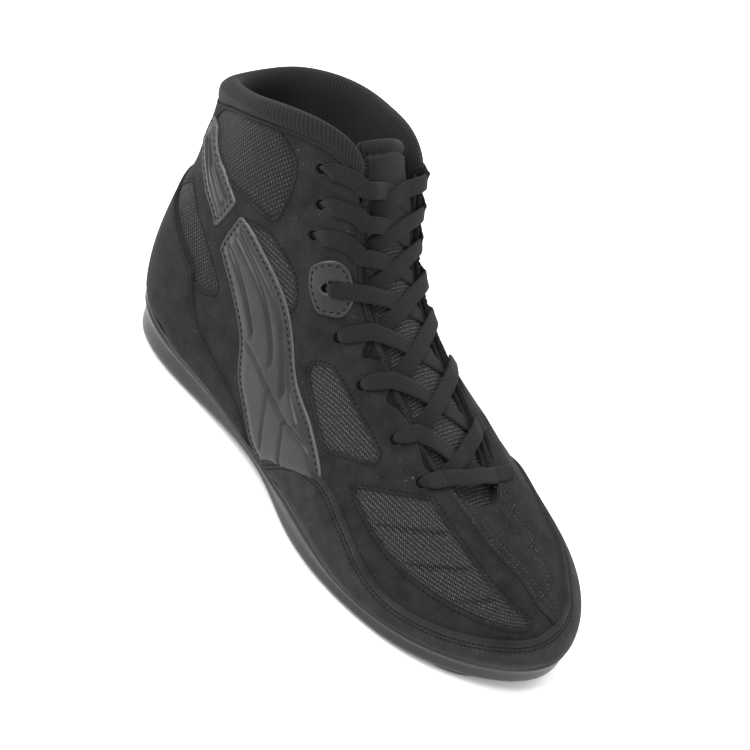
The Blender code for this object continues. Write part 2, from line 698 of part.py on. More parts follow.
def make_saddle(medial, collection):
    """Smooth leather fan from the ankle down to the waist."""
    rows = np.array(SADDLE_ROWS)
    height = np.linspace(rows[0, 0], rows[-1, 0], 13)
    rear, front = (np.interp(-height, -rows[:, 0], rows[:, edge]) for edge in (1, 2))
    share = np.linspace(0.0, 1.0, 7)[None, :]
    station = rear[:, None] + (front - rear)[:, None] * share
    height = height[:, None]
    station, height = np.broadcast_arrays(station, height)
    grid = offset_point(side_station(station, medial), height, np.full(station.shape, GAP))
    if not medial:
        grid = grid[:, ::-1]
    name = "saddle_medial" if medial else "saddle_lateral"
    return add_shell(name, grid, OVERLAY, True, "smooth leather", collection)


def make_tab(medial, collection):
    """Smooth leather tab on the eyestay, round the fourth eyelet from the top."""
    corner = np.array(TAB_CORNERS)
    across, along = np.meshgrid(np.linspace(0.0, 1.0, 4), np.linspace(0.0, 1.0, 5), indexing="ij")
    across, along = across[..., None], along[..., None]
    rear = corner[0] * (1.0 - across) + corner[1] * across
    front = corner[3] * (1.0 - across) + corner[2] * across
    place = rear * (1.0 - along) + front * along
    lift = np.full(place.shape[:2], 2.0 * GAP + OVERLAY)
    grid = offset_point(side_station(place[..., 0], medial), place[..., 1], lift)
    if not medial:
        grid = grid[::-1]
    name = "eyelet_tab_medial" if medial else "eyelet_tab_lateral"
    return add_shell(name, grid, OVERLAY, True, "smooth leather", collection)


def lace_lift(panels):
    """Distance of a lace's middle out of the last, over so many panels."""
    return panels * (GAP + OVERLAY) + LACE_CLEARANCE + 0.5 * LACE_THICKNESS


def lace_path(row, medial):
    """Middle line of one lace run and a line beside it: out of its eyelet, over the throat's edge, across
    the tongue and down to the next row, short of the opposite edge. The bar of the first row goes from
    eyelet to eyelet."""
    station, height, edge, panels = LACE_ROWS[row]
    lift = lace_lift(panels)
    lines = []
    for shift in (0.0, 0.05):
        share = np.linspace(0.0, 1.0, 4)[:-1]
        wall = offset_point(
            side_station(station + shift + (edge - station) * share, medial),
            height + (1.0 - height) * share,
            np.full(3, lift),
        )
        across = np.linspace(-1.0, LACE_REACH, 6)
        if row == 0:
            across = np.linspace(-1.0, 0.0, 5)
            crossing = edge + shift + 0.0 * across
            sink = np.full_like(across, -lift)
        else:
            step = LACE_DROP * (LACE_ROWS[row - 1][2] - edge)
            crossing = edge + shift + step * (across + 1.0) / (LACE_REACH + 1.0)
            low = TONGUE_DEPTH - LACE_CLEARANCE - 0.5 * LACE_THICKNESS
            sink = -lift + (low + lift) * smooth_step(across, -0.8, LACE_REACH)
            if medial:
                sink = sink - 0.6 * LACE_THICKNESS * (1.0 - smooth_step(across, 0.0, 0.6))
        if medial:
            across = -across
        middle = throat_point(crossing, across, sink, 0.0, TONGUE_CROWN)
        lines.append(np.concatenate([wall, middle]))
    if row == 0:
        mirror = lace_bar_half(1 - int(medial))
        lines = [np.concatenate([line, other[::-1][1:]]) for line, other in zip(lines, mirror)]
    return lines


def lace_bar_half(medial):
    """Half of the bar at the throat's toe end, from an eyelet to the middle."""
    station, height, edge, panels = LACE_ROWS[0]
    lift = lace_lift(panels)
    halves = []
    for shift in (0.0, 0.05):
        share = np.linspace(0.0, 1.0, 4)[:-1]
        around = side_station(station + shift + (edge - station) * share, bool(medial))
        wall = offset_point(around, height + (1.0 - height) * share, np.full(3, lift))
        across = np.linspace(-1.0, 0.0, 5) * (-1.0 if medial else 1.0)
        middle = throat_point(edge + shift, across, -lift, 0.0, TONGUE_CROWN)
        halves.append(np.concatenate([wall, middle]))
    return halves


def make_strip(name, lines, collection):
    """Flat band along a path, its width towards the line beside it."""
    middle, beside = lines
    along = np.gradient(middle, axis=0)
    along /= np.linalg.norm(along, axis=1)[:, None]
    side = beside - middle
    side -= along * np.sum(side * along, axis=1)[:, None]
    side /= np.linalg.norm(side, axis=1)[:, None]
    out = np.cross(along, side)
    half_width, half_thickness = 0.5 * LACE_WIDTH, 0.5 * LACE_THICKNESS
    corners = ((1, 1), (-1, 1), (-1, -1), (1, -1))
    grid = np.stack([middle + side * half_width * a + out * half_thickness * b for a, b in corners], axis=1)
    rows = len(middle)
    faces = grid_faces(rows, 4, close_columns=True)
    faces.append((3, 2, 1, 0))
    faces.append(tuple((rows - 1) * 4 + place for place in range(4)))
    made = add_object(name, grid.reshape(-1, 3), faces, "lace", collection)
    turn_outward(made)
    return made


def make_lacing(collection, cutters):
    """Bar across the first row, and a joined crossing for each row above it."""
    make_strip("lace_bar", lace_path(0, False), collection)
    for row in range(1, len(LACE_ROWS)):
        crossing = make_strip(f"lace_crossing_{row}", lace_path(row, False), collection)
        other = make_strip(f"lace_cutter_{row}", lace_path(row, True), cutters)
        other.hide_render = True
        other.display_type = "WIRE"
        join = crossing.modifiers.new("crossing", "BOOLEAN")
        join.operation = "UNION"
        join.object = other
        join.solver = "EXACT"


def turn_outward(made):
    """Make a closed mesh's faces point out."""
    shape = bmesh.new()
    shape.from_mesh(made.data)
    bmesh.ops.recalc_face_normals(shape, faces=shape.faces)
    shape.to_mesh(made.data)
    shape.free()


def finish_place(collection):
    """Stand the shoe on the ground with the middle of its box over the origin."""
    bpy.context.view_layer.update()
    graph = bpy.context.evaluated_depsgraph_get()
    low, high = np.full(3, np.inf), np.full(3, -np.inf)
    for piece in collection.objects:
        evaluated = piece.evaluated_get(graph)
        points = np.array([vertex.co[:] for vertex in evaluated.to_mesh().vertices])
        low, high = np.minimum(low, points.min(axis=0)), np.maximum(high, points.max(axis=0))
        evaluated.to_mesh_clear()
    middle = (low + high) / 2.0
    for piece in collection.objects:
        piece.location = (-middle[0], -middle[1], -low[2])
    return middle, low


def new_collection(name):
    """A collection in the scene."""
    made = bpy.data.collections.new(name)
    bpy.context.scene.collection.children.link(made)
    return made


def main():
    """Build the whole shoe."""
    for old in list(bpy.data.objects):
        bpy.data.objects.remove(old, do_unlink=True)
    shoe = new_collection("wrestling_shoe")
    cutters = new_collection("cutters")
    make_outsole(shoe, cutters)
    make_upper(shoe)
    make_insole(shoe)
    make_tongue(shoe)
    make_tongue_patch(shoe)
    make_collar(shoe)
    make_mudguard(shoe)
    make_heel_counter(shoe)
    make_eyestay(shoe)
    for medial in (False, True):
        make_saddle(medial, shoe)
        make_tab(medial, shoe)
    make_lacing(shoe, cutters)
    middle, low = finish_place(shoe)
    for cutter in cutters.objects:
        cutter.location = (-middle[0], -middle[1], -low[2])


main()
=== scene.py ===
import math

import bmesh
import bpy
import numpy as np
from mathutils import Matrix, Vector, geometry


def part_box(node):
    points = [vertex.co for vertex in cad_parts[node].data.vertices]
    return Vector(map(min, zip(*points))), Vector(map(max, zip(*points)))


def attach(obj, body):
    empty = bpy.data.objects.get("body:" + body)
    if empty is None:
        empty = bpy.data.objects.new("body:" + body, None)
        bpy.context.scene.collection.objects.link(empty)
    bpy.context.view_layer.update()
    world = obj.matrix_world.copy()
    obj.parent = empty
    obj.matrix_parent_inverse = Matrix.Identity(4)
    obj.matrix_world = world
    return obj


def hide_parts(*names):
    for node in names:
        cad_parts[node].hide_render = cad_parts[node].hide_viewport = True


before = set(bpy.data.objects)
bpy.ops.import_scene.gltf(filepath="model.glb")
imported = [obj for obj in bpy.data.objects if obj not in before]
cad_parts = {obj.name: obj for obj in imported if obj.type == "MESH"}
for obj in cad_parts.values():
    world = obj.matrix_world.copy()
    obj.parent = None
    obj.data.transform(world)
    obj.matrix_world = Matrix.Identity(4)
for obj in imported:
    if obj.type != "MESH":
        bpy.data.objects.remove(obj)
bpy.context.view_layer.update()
print("frame loaded")

mm = 0.001


# The last: the same surface as the solids'
last = {
    "length": 0.272,
    "heelSetback": 0.007,
    "ballWidth": 0.095,
    "collarHeight": 0.151,
    "collarWidth": 0.068,
    "throatWidth": 0.040,
    "wall": 0.0024,
    "soleThickness": 0.008,
    "heelWedge": 0.005,
    "toeSpring": 0.005,
    "archRise": 0.0045,
    "medialArch": 0.002,
    "podHeight": 0.002,
    "gap": 0.0003,
    "stations": 20,
}
# foot x, foot y, out, up, lean, drop, fore, round the ankle, rim x, rim y, rim z: shares of the sizes above
stationShares = np.array([
    (0.000, 0.000, 0.179, 0.278, -0.011, 0.298, 0.000, 1, 0.011, 0.000, 0.918),
    (0.030, -0.221, 0.147, 0.265, -0.042, 0.298, 0.007, 1, 0.036, -0.279, 0.925),
    (0.114, -0.337, 0.095, 0.225, -0.084, 0.278, 0.000, 1, 0.118, -0.456, 0.972),
    (0.261, -0.347, 0.074, 0.252, -0.053, 0.278, 0.000, 1, 0.250, -0.500, 1.050),
    (0.386, -0.368, 0.063, 0.238, 0.095, 0.278, 0.018, 1, 0.382, -0.294, 1.012),
    (0.474, -0.400, 0.063, 0.225, 0.158, 0.252, 0.029, 0, 0.430, -0.425, 0.775),
    (0.555, -0.453, 0.063, 0.212, 0.168, 0.159, 0.029, 0, 0.511, -0.425, 0.623),
    (0.665, -0.505, 0.084, 0.199, 0.168, 0.079, 0.026, 0, 0.621, -0.450, 0.510),
    (0.805, -0.463, 0.095, 0.179, 0.189, 0.033, 0.029, 0, 0.732, -0.400, 0.411),
    (0.926, -0.284, 0.084, 0.172, 0.253, 0.026, 0.037, 0, 0.779, -0.200, 0.377),
    (1.000, 0.053, 0.063, 0.185, 0.358, 0.026, 0.000, 0, 0.790, 0.050, 0.371),
    (0.963, 0.305, 0.063, 0.172, 0.253, 0.026, 0.015, 0, 0.779, 0.200, 0.377),
    (0.868, 0.453, 0.074, 0.179, 0.189, 0.026, 0.015, 0, 0.732, 0.345, 0.415),
    (0.732, 0.495, 0.074, 0.199, 0.158, 0.053, 0.015, 0, 0.621, 0.390, 0.520),
    (0.599, 0.400, 0.063, 0.212, 0.126, 0.132, 0.015, 0, 0.515, 0.385, 0.634),
    (0.500, 0.326, 0.063, 0.225, 0.095, 0.225, 0.015, 0, 0.434, 0.395, 0.782),
    (0.397, 0.295, 0.074, 0.252, 0.053, 0.278, 0.007, 1, 0.375, 0.265, 0.995),
    (0.261, 0.305, 0.084, 0.265, -0.053, 0.278, 0.000, 1, 0.246, 0.470, 1.020),
    (0.114, 0.316, 0.095, 0.225, -0.084, 0.278, 0.000, 1, 0.118, 0.446, 0.995),
    (0.030, 0.211, 0.147, 0.265, -0.042, 0.298, 0.007, 1, 0.036, 0.279, 0.950),
])


def smoothStep(value, low, high):
    share = np.clip((value - low) / (high - low), 0.0, 1.0)
    return share * share * (3.0 - 2.0 * share)


def footbed(x, y):  # height of the sole's upper face: thickness, heel wedge, medial arch and toe spring
    along = (x - last["heelSetback"]) / last["length"]
    wedge = last["heelWedge"] * (1.0 - smoothStep(along, 0.12, 0.62))
    arch = last["medialArch"] * smoothStep(y / last["ballWidth"], 0.05, 0.30)
    arch = arch * smoothStep(along, 0.18, 0.34) * (1.0 - smoothStep(along, 0.45, 0.62))
    springShare = np.clip((along - 0.78) / 0.22, 0.0, 1.2)
    return last["soleThickness"] + wedge + arch + last["toeSpring"] * springShare ** 2


def underside(x):  # height of the sole's lower face between the pods
    along = (x - last["heelSetback"]) / last["length"]
    arch = last["archRise"] * smoothStep(along, 0.22, 0.42) * (1.0 - smoothStep(along, 0.42, 0.60))
    springShare = np.clip((along - 0.78) / 0.22, 0.0, 1.2)
    return last["podHeight"] + arch + last["toeSpring"] * springShare ** 2


def wallControls():  # four Bezier controls of the wall at each station: foot, lower, upper, rim
    shares = stationShares
    footX = last["heelSetback"] + shares[:, 0] * last["length"]
    footY = shares[:, 1] * last["ballWidth"]
    foot = np.stack([footX, footY, footbed(footX, footY) + last["gap"]], axis=1)
    along = np.roll(foot, -1, axis=0) - np.roll(foot, 1, axis=0)
    along = along[:, :2] / np.linalg.norm(along[:, :2], axis=1)[:, None]
    outward = np.stack([along[:, 1], -along[:, 0], np.zeros(len(foot))], axis=1)
    rimWidth = np.where(shares[:, 7] > 0.5, last["collarWidth"], last["throatWidth"])
    rim = np.stack([last["heelSetback"] + shares[:, 8] * last["length"], shares[:, 9] * rimWidth,
                    shares[:, 10] * last["collarHeight"]], axis=1)
    up, ahead = np.array([0.0, 0.0, 1.0]), np.array([1.0, 0.0, 0.0])
    lower = foot + outward * (shares[:, 2] * last["ballWidth"])[:, None]
    lower = lower + up * (shares[:, 3] * last["collarHeight"])[:, None]
    upper = rim + outward * (shares[:, 4] * last["ballWidth"])[:, None]
    upper = upper - up * (shares[:, 5] * last["collarHeight"])[:, None]
    upper = upper + ahead * (shares[:, 6] * last["length"])[:, None]
    return np.stack([foot, lower, upper, rim])


def closedSplineBends(points, steps):  # second derivatives of the closed cubic curve through the points
    count = len(points)
    matrix = np.zeros((count, count))
    right = np.zeros(points.shape)
    for row in range(count):
        before, after = steps[row - 1], steps[row]
        matrix[row, row - 1] += before
        matrix[row, row] += 2.0 * (before + after)
        matrix[row, (row + 1) % count] += after
        rise = (points[(row + 1) % count] - points[row]) / after
        right[row] = 6.0 * (rise - (points[row] - points[row - 1]) / before)
    return np.linalg.solve(matrix, right)


controls = wallControls()
strides = np.linalg.norm(np.roll(controls[0], -1, axis=0) - controls[0], axis=1)
knots = np.concatenate([[0.0], np.cumsum(strides)])
bends = [closedSplineBends(row, strides) for row in controls]


def lastPoint(station, height):  # cubic Bezier up the wall whose controls run round it on closed splines
    station, height = np.broadcast_arrays(np.asarray(station, float), np.asarray(height, float))
    flat = np.mod(station.ravel(), last["stations"])
    at = np.interp(flat, np.arange(last["stations"] + 1), knots)
    low = np.clip(np.searchsorted(knots, at, side="right") - 1, 0, last["stations"] - 1)
    high = (low + 1) % last["stations"]
    done, left = (at - knots[low])[:, None], (knots[low + 1] - at)[:, None]
    width = strides[low][:, None]
    share = height.ravel()[:, None]
    rest = 1.0 - share
    weights = (rest ** 3, 3.0 * rest ** 2 * share, 3.0 * rest * share ** 2, share ** 3)
    total = np.zeros((len(flat), 3))
    for weight, points, bend in zip(weights, controls, bends):
        curve = (bend[low] * left ** 3 + bend[high] * done ** 3) / (6.0 * width)
        curve += (points[low] / width - bend[low] * width / 6.0) * left
        curve += (points[high] / width - bend[high] * width / 6.0) * done
        total += weight * curve
    return total.reshape(station.shape + (3,))


def lastFrame(station, height):  # point, outward normal, direction round and direction up the wall
    tiny = 1e-4
    station, height = np.broadcast_arrays(np.asarray(station, float), np.asarray(height, float))
    around = lastPoint(station + tiny, height) - lastPoint(station - tiny, height)
    upward = lastPoint(station, height + tiny) - lastPoint(station, height - tiny)
    normal = np.cross(around, upward)
    normal /= np.linalg.norm(normal, axis=-1, keepdims=True)
    return lastPoint(station, height), normal, around / (2.0 * tiny), upward / (2.0 * tiny)


def findShift():  # the solids are centred on their own box: the same grid of the wall says by how much
    station, height = np.meshgrid(np.arange(60) / 3.0, np.linspace(0.0, 0.9, 10), indexing="ij")
    own = lastPoint(station, height).reshape(-1, 3)
    low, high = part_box("upper")
    middle = 0.5 * (own.min(0) + own.max(0))
    return np.array([0.5 * (low.x + high.x) - middle[0], 0.5 * (low.y + high.y) - middle[1], 0.0])


shift = findShift()
print("shift of the solids", shift.round(5))

# Soft creases and swells of the whole upper: station, height, station, height, half width and depth in mm
creases = np.array([
    (7.30, 0.42, 8.30, 0.30, 5.0, -0.5),
    (6.90, 0.62, 7.75, 0.70, 4.0, -0.4),
    (12.70, 0.42, 11.70, 0.30, 5.0, -0.5),
    (13.10, 0.62, 12.25, 0.70, 4.0, -0.4),
    (9.00, 0.60, 11.00, 0.60, 9.0, 0.5),
    (3.90, 0.60, 4.80, 0.42, 7.0, -0.9),
    (3.30, 0.66, 4.10, 0.58, 6.0, -0.6),
    (16.10, 0.60, 15.20, 0.42, 7.0, -0.9),
    (16.70, 0.66, 15.90, 0.58, 6.0, -0.6),
    (0.00, 0.64, 1.30, 0.68, 6.0, -0.8),
    (20.00, 0.64, 18.70, 0.68, 6.0, -0.8),
    (1.30, 0.80, 3.00, 0.84, 8.0, 0.6),
    (18.70, 0.80, 17.00, 0.84, 8.0, 0.6),
    (2.60, 0.52, 4.20, 0.30, 6.0, 0.5),
    (17.40, 0.52, 15.80, 0.30, 6.0, 0.5),
])
creaseScale = np.array([30.0, 95.0])  # about how many mm one station and the whole height are


def relief(station, height):  # sum of bell-shaped troughs and ridges along short lines
    spot = np.stack([np.mod(station, last["stations"]), height], axis=-1) * creaseScale
    total = np.zeros(spot.shape[:-1])
    for row in creases:
        start, end = row[0:2] * creaseScale, row[2:4] * creaseScale
        run = end - start
        share = np.clip(((spot - start) @ run) / (run @ run), 0.0, 1.0)
        away = np.linalg.norm(spot - start - share[..., None] * run, axis=-1)
        total += row[5] * mm * np.exp(-(away / row[4]) ** 2)
    return total


def skin(station, height, lift):  # point at a distance out of the creased last
    point, normal, _, _ = lastFrame(station, height)
    out = np.asarray(lift) + relief(np.asarray(station, float), np.asarray(height, float))
    return point + shift + normal * out[..., None]


wallLength = np.linalg.norm(np.diff(lastPoint(np.arange(0, 20.01, 0.1)[:, None], np.linspace(0, 1, 25)[None]),
                                    axis=1), axis=2).sum(1)
roundLength = np.concatenate([[0.0], np.cumsum(np.linalg.norm(np.diff(
    lastPoint(np.arange(0, 20.01, 0.1), 0.5), axis=0), axis=1))])


def clothPlace(station, height):  # metres round and up the wall, for weaves that follow it
    at = np.mod(station, last["stations"])
    around = np.interp(at, np.arange(0, 20.01, 0.1), roundLength)
    return np.stack([around, height * np.interp(at, np.arange(0, 20.01, 0.1), wallLength)], axis=-1)


# Meshes from arrays
def newObject(name, points, faces, uv=None, smooth=True):
    mesh = bpy.data.meshes.new(name)
    mesh.from_pydata(np.asarray(points, float).reshape(-1, 3).tolist(), [], faces)
    if uv is not None:
        layer = mesh.uv_layers.new(name="cloth")
        loops = np.zeros(len(mesh.loops), np.int32)
        mesh.loops.foreach_get("vertex_index", loops)
        layer.data.foreach_set("uv", np.asarray(uv, float).reshape(-1, 2)[loops].ravel())
    mesh.polygons.foreach_set("use_smooth", [smooth] * len(mesh.polygons))
    mesh.update()
    made = bpy.data.objects.new(name, mesh)
    bpy.context.scene.collection.objects.link(made)
    return made


def gridFaces(rows, columns, closeRows=False, closeColumns=False, start=0):  # quads of a rows by columns grid
    row = np.arange(rows if closeRows else rows - 1)
    column = np.arange(columns if closeColumns else columns - 1)
    row, column = np.meshgrid(row, column, indexing="ij")
    rowNext, columnNext = (row + 1) % rows, (column + 1) % columns
    corners = (row * columns + column, rowNext * columns + column,
               rowNext * columns + columnNext, row * columns + columnNext)
    return (np.stack(corners, axis=-1).reshape(-1, 4) + start).tolist()


def finishPiece(made, finish, replaces=()):
    made.data.materials.clear()
    made.data.materials.append(finish)
    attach(made, "root")
    if replaces:
        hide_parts(*replaces)
    return made


def joined(name, pieces):  # several meshes as one piece
    bpy.ops.object.select_all(action="DESELECT")
    for piece in pieces:
        piece.select_set(True)
    bpy.context.view_layer.objects.active = pieces[0]
    bpy.ops.object.join()
    pieces[0].name = name
    return pieces[0]


def unitRows(vectors):
    return vectors / np.maximum(np.linalg.norm(vectors, axis=-1, keepdims=True), 1e-12)


def smoothLine(points, closed=True, samples=10):
    # Hermite curve through points whose slopes are half the step between neighbours; a third value 1 is a corner
    place = np.array([p[:2] for p in points], float)
    corner = np.array([len(p) > 2 and p[2] > 0 for p in points])
    count = len(place)
    after, before = np.roll(place, -1, axis=0), np.roll(place, 1, axis=0)
    slopeOut = np.where(corner[:, None], after - place, 0.5 * (after - before))
    slopeIn = np.where(corner[:, None], place - before, 0.5 * (after - before))
    if not closed:
        slopeOut[0], slopeIn[-1] = after[0] - place[0], place[-1] - before[-1]
    t = np.linspace(0.0, 1.0, samples + 1)[:-1][None, :, None]
    spans = np.arange(count if closed else count - 1)
    p0, p1 = place[spans][:, None], place[(spans + 1) % count][:, None]
    m0, m1 = slopeOut[spans][:, None], slopeIn[(spans + 1) % count][:, None]
    curve = (2 * t ** 3 - 3 * t ** 2 + 1) * p0 + (t ** 3 - 2 * t ** 2 + t) * m0
    curve = curve + (-2 * t ** 3 + 3 * t ** 2) * p1 + (t ** 3 - t ** 2) * m1
    curve = curve.reshape(-1, 2)
    return curve if closed else np.vstack([curve, place[-1:]])


def resample(line, pitch, closed=True):  # the same line with points a real distance apart
    full = np.vstack([line, line[:1]]) if closed else line
    spots = lastPoint(full[:, 0], full[:, 1])
    run = np.concatenate([[0.0], np.cumsum(np.linalg.norm(np.diff(spots, axis=0), axis=1))])
    count = max(4, int(round(run[-1] / pitch)))
    at = np.linspace(0.0, run[-1], count + 1)
    if closed:
        at = at[:-1]
    return np.stack([np.interp(at, run, full[:, 0]), np.interp(at, run, full[:, 1])], axis=1)


def sideways(line, distance, closed=True):  # line moved to its left by real distances on the wall
    ahead = np.roll(line, -1, axis=0) - np.roll(line, 1, axis=0)
    if not closed:
        ahead[0], ahead[-1] = line[1] - line[0], line[-1] - line[-2]
    # across the run and in the wall's face, written back as steps of station and height, which aren't square
    _, normal, around, upward = lastFrame(line[:, 0], line[:, 1])
    run = unitRows(around * ahead[:, :1] + upward * ahead[:, 1:])
    left = np.cross(normal, run)
    dots = [np.sum(a * b, axis=1) for a, b in ((around, around), (upward, upward), (around, upward), (left, around),
                                               (left, upward))]
    square = dots[0] * dots[1] - dots[2] ** 2
    step = np.stack([dots[3] * dots[1] - dots[4] * dots[2], dots[4] * dots[0] - dots[3] * dots[2]], axis=1)
    return line + step * distance / square[:, None]


def turned(line, counterClockwise):  # the line with the wanted sense
    x, y = line[:, 0], line[:, 1]
    area = np.sum(x * np.roll(y, -1) - np.roll(x, -1) * y)
    return line if (area > 0) == counterClockwise else line[::-1]


def insideLine(points, line):  # even-odd test of points against a closed line
    x, y = points[:, 0][:, None], points[:, 1][:, None]
    x0, y0 = line[:, 0][None], line[:, 1][None]
    x1, y1 = np.roll(line[:, 0], -1)[None], np.roll(line[:, 1], -1)[None]
    crosses = (y0 > y) != (y1 > y)
    slope = (x1 - x0) / np.where(np.abs(y1 - y0) < 1e-12, 1e-12, y1 - y0)
    return (np.sum(crosses & (x < x0 + slope * (y - y0)), axis=1) % 2) == 1


def nearestDistance(spots, edge):  # distance from each spot to the nearest of the edge's points
    best = np.full(len(spots), 1e9)
    for start in range(0, len(spots), 2000):
        block = spots[start:start + 2000]
        square = ((block[:, None, :] - edge[None, :, :]) ** 2).sum(2)
        best[start:start + 2000] = np.sqrt(square.min(1))
    return best


def edgeDistance(points, loops):  # real distance from points to closed lines, measured to their segments
    spots = lastPoint(points[:, 0], points[:, 1])
    lines = [lastPoint(loop[:, 0], loop[:, 1]) for loop in loops]
    starts = np.vstack(lines)
    run = np.vstack([np.roll(line, -1, axis=0) for line in lines]) - starts
    square, offset, far = (run ** 2).sum(1), (starts * run).sum(1), (starts ** 2).sum(1)
    best = np.zeros(len(spots))
    for start in range(0, len(spots), 2000):
        block = spots[start:start + 2000]
        along = block @ run.T - offset
        share = np.clip(along / square, 0.0, 1.0)
        total = (block ** 2).sum(1)[:, None] - 2.0 * block @ starts.T + far - 2.0 * share * along + share ** 2 * square
        best[start:start + 2000] = np.sqrt(np.maximum(total.min(1), 0.0))
    return best


guideSides = [-2.0, -1.3, -0.8, -0.4, 0.0, 0.4, 0.8, 1.3, 2.0]  # mm beside a pressed line, where points are needed


def fillOutline(outline, holes, rings, spacing, guides=()):
    # points on the parameter plane: outlines, rings set in from them, rows beside pressed lines, a staggered grid
    loops = [turned(outline, True)] + [turned(hole, False) for hole in holes]
    edge = np.vstack(loops)

    def keep(points, clear):
        good = insideLine(points, loops[0])
        for loop in loops[1:]:
            good &= ~insideLine(points, loop)
        points = points[good]
        return points[edgeDistance(points, loops) > clear]

    inner = []
    for distance in rings:
        for loop in loops:
            inner.append(keep(sideways(loop, distance), 0.85 * distance))
    guideSpots = []
    for guide in guides:
        line = resample(smoothLine(guide, closed=False), 0.9 * mm, closed=False)
        guideSpots.append(lastPoint(line[:, 0], line[:, 1]))
        for side in guideSides:
            inner.append(keep(sideways(line, side * mm, closed=False), 0.5 * mm))
    low, high = loops[0].min(0), loops[0].max(0)
    stepK, stepV = spacing / 0.030, spacing / 0.095
    columns, rows = np.arange(low[0], high[0], stepK), np.arange(low[1], high[1], stepV * 0.87)
    gridK, gridV = np.meshgrid(columns, rows, indexing="ij")
    gridK = gridK + (np.arange(len(rows)) % 2)[None, :] * 0.5 * stepK
    reach = (rings[-1] if rings else 0.0) + 0.6 * spacing
    spread = keep(np.stack([gridK.ravel(), gridV.ravel()], axis=1), reach)
    if guideSpots:
        spread = spread[nearestDistance(lastPoint(spread[:, 0], spread[:, 1]), np.vstack(guideSpots)) > 2.6 * mm]
    inner.append(spread)
    points = np.vstack([edge] + inner)
    segments, start = [], 0
    for loop in loops:
        number = np.arange(len(loop))
        segments += np.stack([number + start, (number + 1) % len(loop) + start], axis=1).tolist()
        start += len(loop)
    plane = points * np.array([30.0, 95.0])
    result = geometry.delaunay_2d_cdt([Vector(p) for p in plane.tolist()], segments, [], 0, 1e-5)
    placed = np.array([tuple(p) for p in result[0]]) / np.array([30.0, 95.0])
    faces = np.array([f for f in result[2] if len(f) == 3])
    centre = placed[faces].mean(1)
    good = insideLine(centre, loops[0])
    for loop in loops[1:]:
        good &= ~insideLine(centre, loop)
    corners = placed[faces]
    spin = np.cross(corners[:, 1] - corners[:, 0], corners[:, 2] - corners[:, 0])
    faces = np.where((spin > 0)[:, None], faces, faces[:, ::-1])[good]
    away = edgeDistance(placed, loops)
    return placed, faces, np.where(away < 0.02 * mm, 0.0, away)


# Rubber flange of the sole: station, height over the feather edge and reach out from it, in mm. It is a little
# lower and tighter than the solid's
flange = np.array([
    (0.0, 11.0, 2.2), (1.2, 10.0, 2.2), (2.4, 4.0, 1.8), (4.0, 2.2, 1.2), (5.2, 4.0, 1.6), (6.2, 9.0, 2.4),
    (6.9, 7.0, 2.4), (7.6, 3.0, 1.4), (8.4, 4.2, 2.2), (10.0, 5.0, 2.4), (11.6, 4.2, 2.2), (12.4, 3.0, 1.4),
    (13.1, 7.0, 2.4), (13.8, 9.0, 2.4), (14.8, 4.0, 1.6), (16.0, 2.2, 1.2), (17.6, 4.0, 1.8), (18.8, 10.0, 2.2),
])


def flangeSize(station, where):  # the table's value between its rows, its corners eased by averaging neighbours
    near = np.asarray(station, float)[..., None] + np.linspace(-0.35, 0.35, 9)
    return np.interp(near, flange[:, 0], flange[:, where], period=last["stations"]).mean(-1) * mm


def heightAtRise(station, rise):  # height share at which the wall has climbed by rise over its foot
    steps = np.linspace(0.0, 0.7, 57)
    climb = lastPoint(np.asarray(station)[:, None], steps[None, :])[..., 2]
    climb = climb - climb[:, :1]
    return np.array([np.interp(r, c, steps) for r, c in zip(rise, climb)])


flangeStations = np.arange(0, 20.01, 0.1)
flangeTops = heightAtRise(flangeStations, flangeSize(flangeStations, 1))


def freeOfFlange(station, height):  # 0 where the rubber covers the panels, which are pressed thin there, to 1
    top = np.interp(np.mod(station, last["stations"]), flangeStations, flangeTops)
    return 0.06 + 0.94 * smoothStep(height - top, -0.004, 0.014)


def panelPiece(name, outline, holes, settings, shape=None):
    # a cut panel: its edge rises in a quarter round, dips at the seam line and carries the creases of the last
    place, faces, away = fillOutline(outline, holes, settings["rings"], settings["spacing"], settings.get("guides", ()))
    lift = settings["lift"] + edgeRise(away, settings)
    if shape is not None:
        lift = lift + shape(place, away)
    top = skin(place[:, 0], place[:, 1], lift * freeOfFlange(place[:, 0], place[:, 1]))
    backPlace, backFaces, backAway = fillOutline(outline, holes, [], 7.0 * mm)
    back = skin(backPlace[:, 0], backPlace[:, 1], settings["lift"] * freeOfFlange(backPlace[:, 0], backPlace[:, 1]))
    points = np.vstack([top, back])
    allFaces = faces.tolist() + (backFaces[:, ::-1] + len(top)).tolist()
    uv = clothPlace(np.concatenate([place[:, 0], backPlace[:, 0]]), np.concatenate([place[:, 1], backPlace[:, 1]]))
    made = newObject(name, points, allFaces, uv)
    edge = made.data.attributes.new("edge", "FLOAT", "POINT")  # mm from the cut edge, read by the materials
    edge.data.foreach_set("value", np.concatenate([away, backAway]) / mm)
    tidy = bmesh.new()
    tidy.from_mesh(made.data)
    bmesh.ops.remove_doubles(tidy, verts=tidy.verts, dist=1e-6)
    tidy.to_mesh(made.data)
    tidy.free()
    return made


def edgeRise(away, settings):
    thick, round_ = settings["thickness"], settings["round"]
    share = np.clip(away / round_, 0.0, 1.0)
    rise = thick * np.sqrt(1.0 - (1.0 - share) ** 2)
    for seam in settings["seams"]:
        rise = rise - settings["dip"] * np.exp(-((away - seam) / (0.45 * mm)) ** 2)
    puff = settings.get("puff", 0.0)
    return rise + puff * np.exp(-((away - 1.0 * mm) / (0.8 * mm)) ** 2)


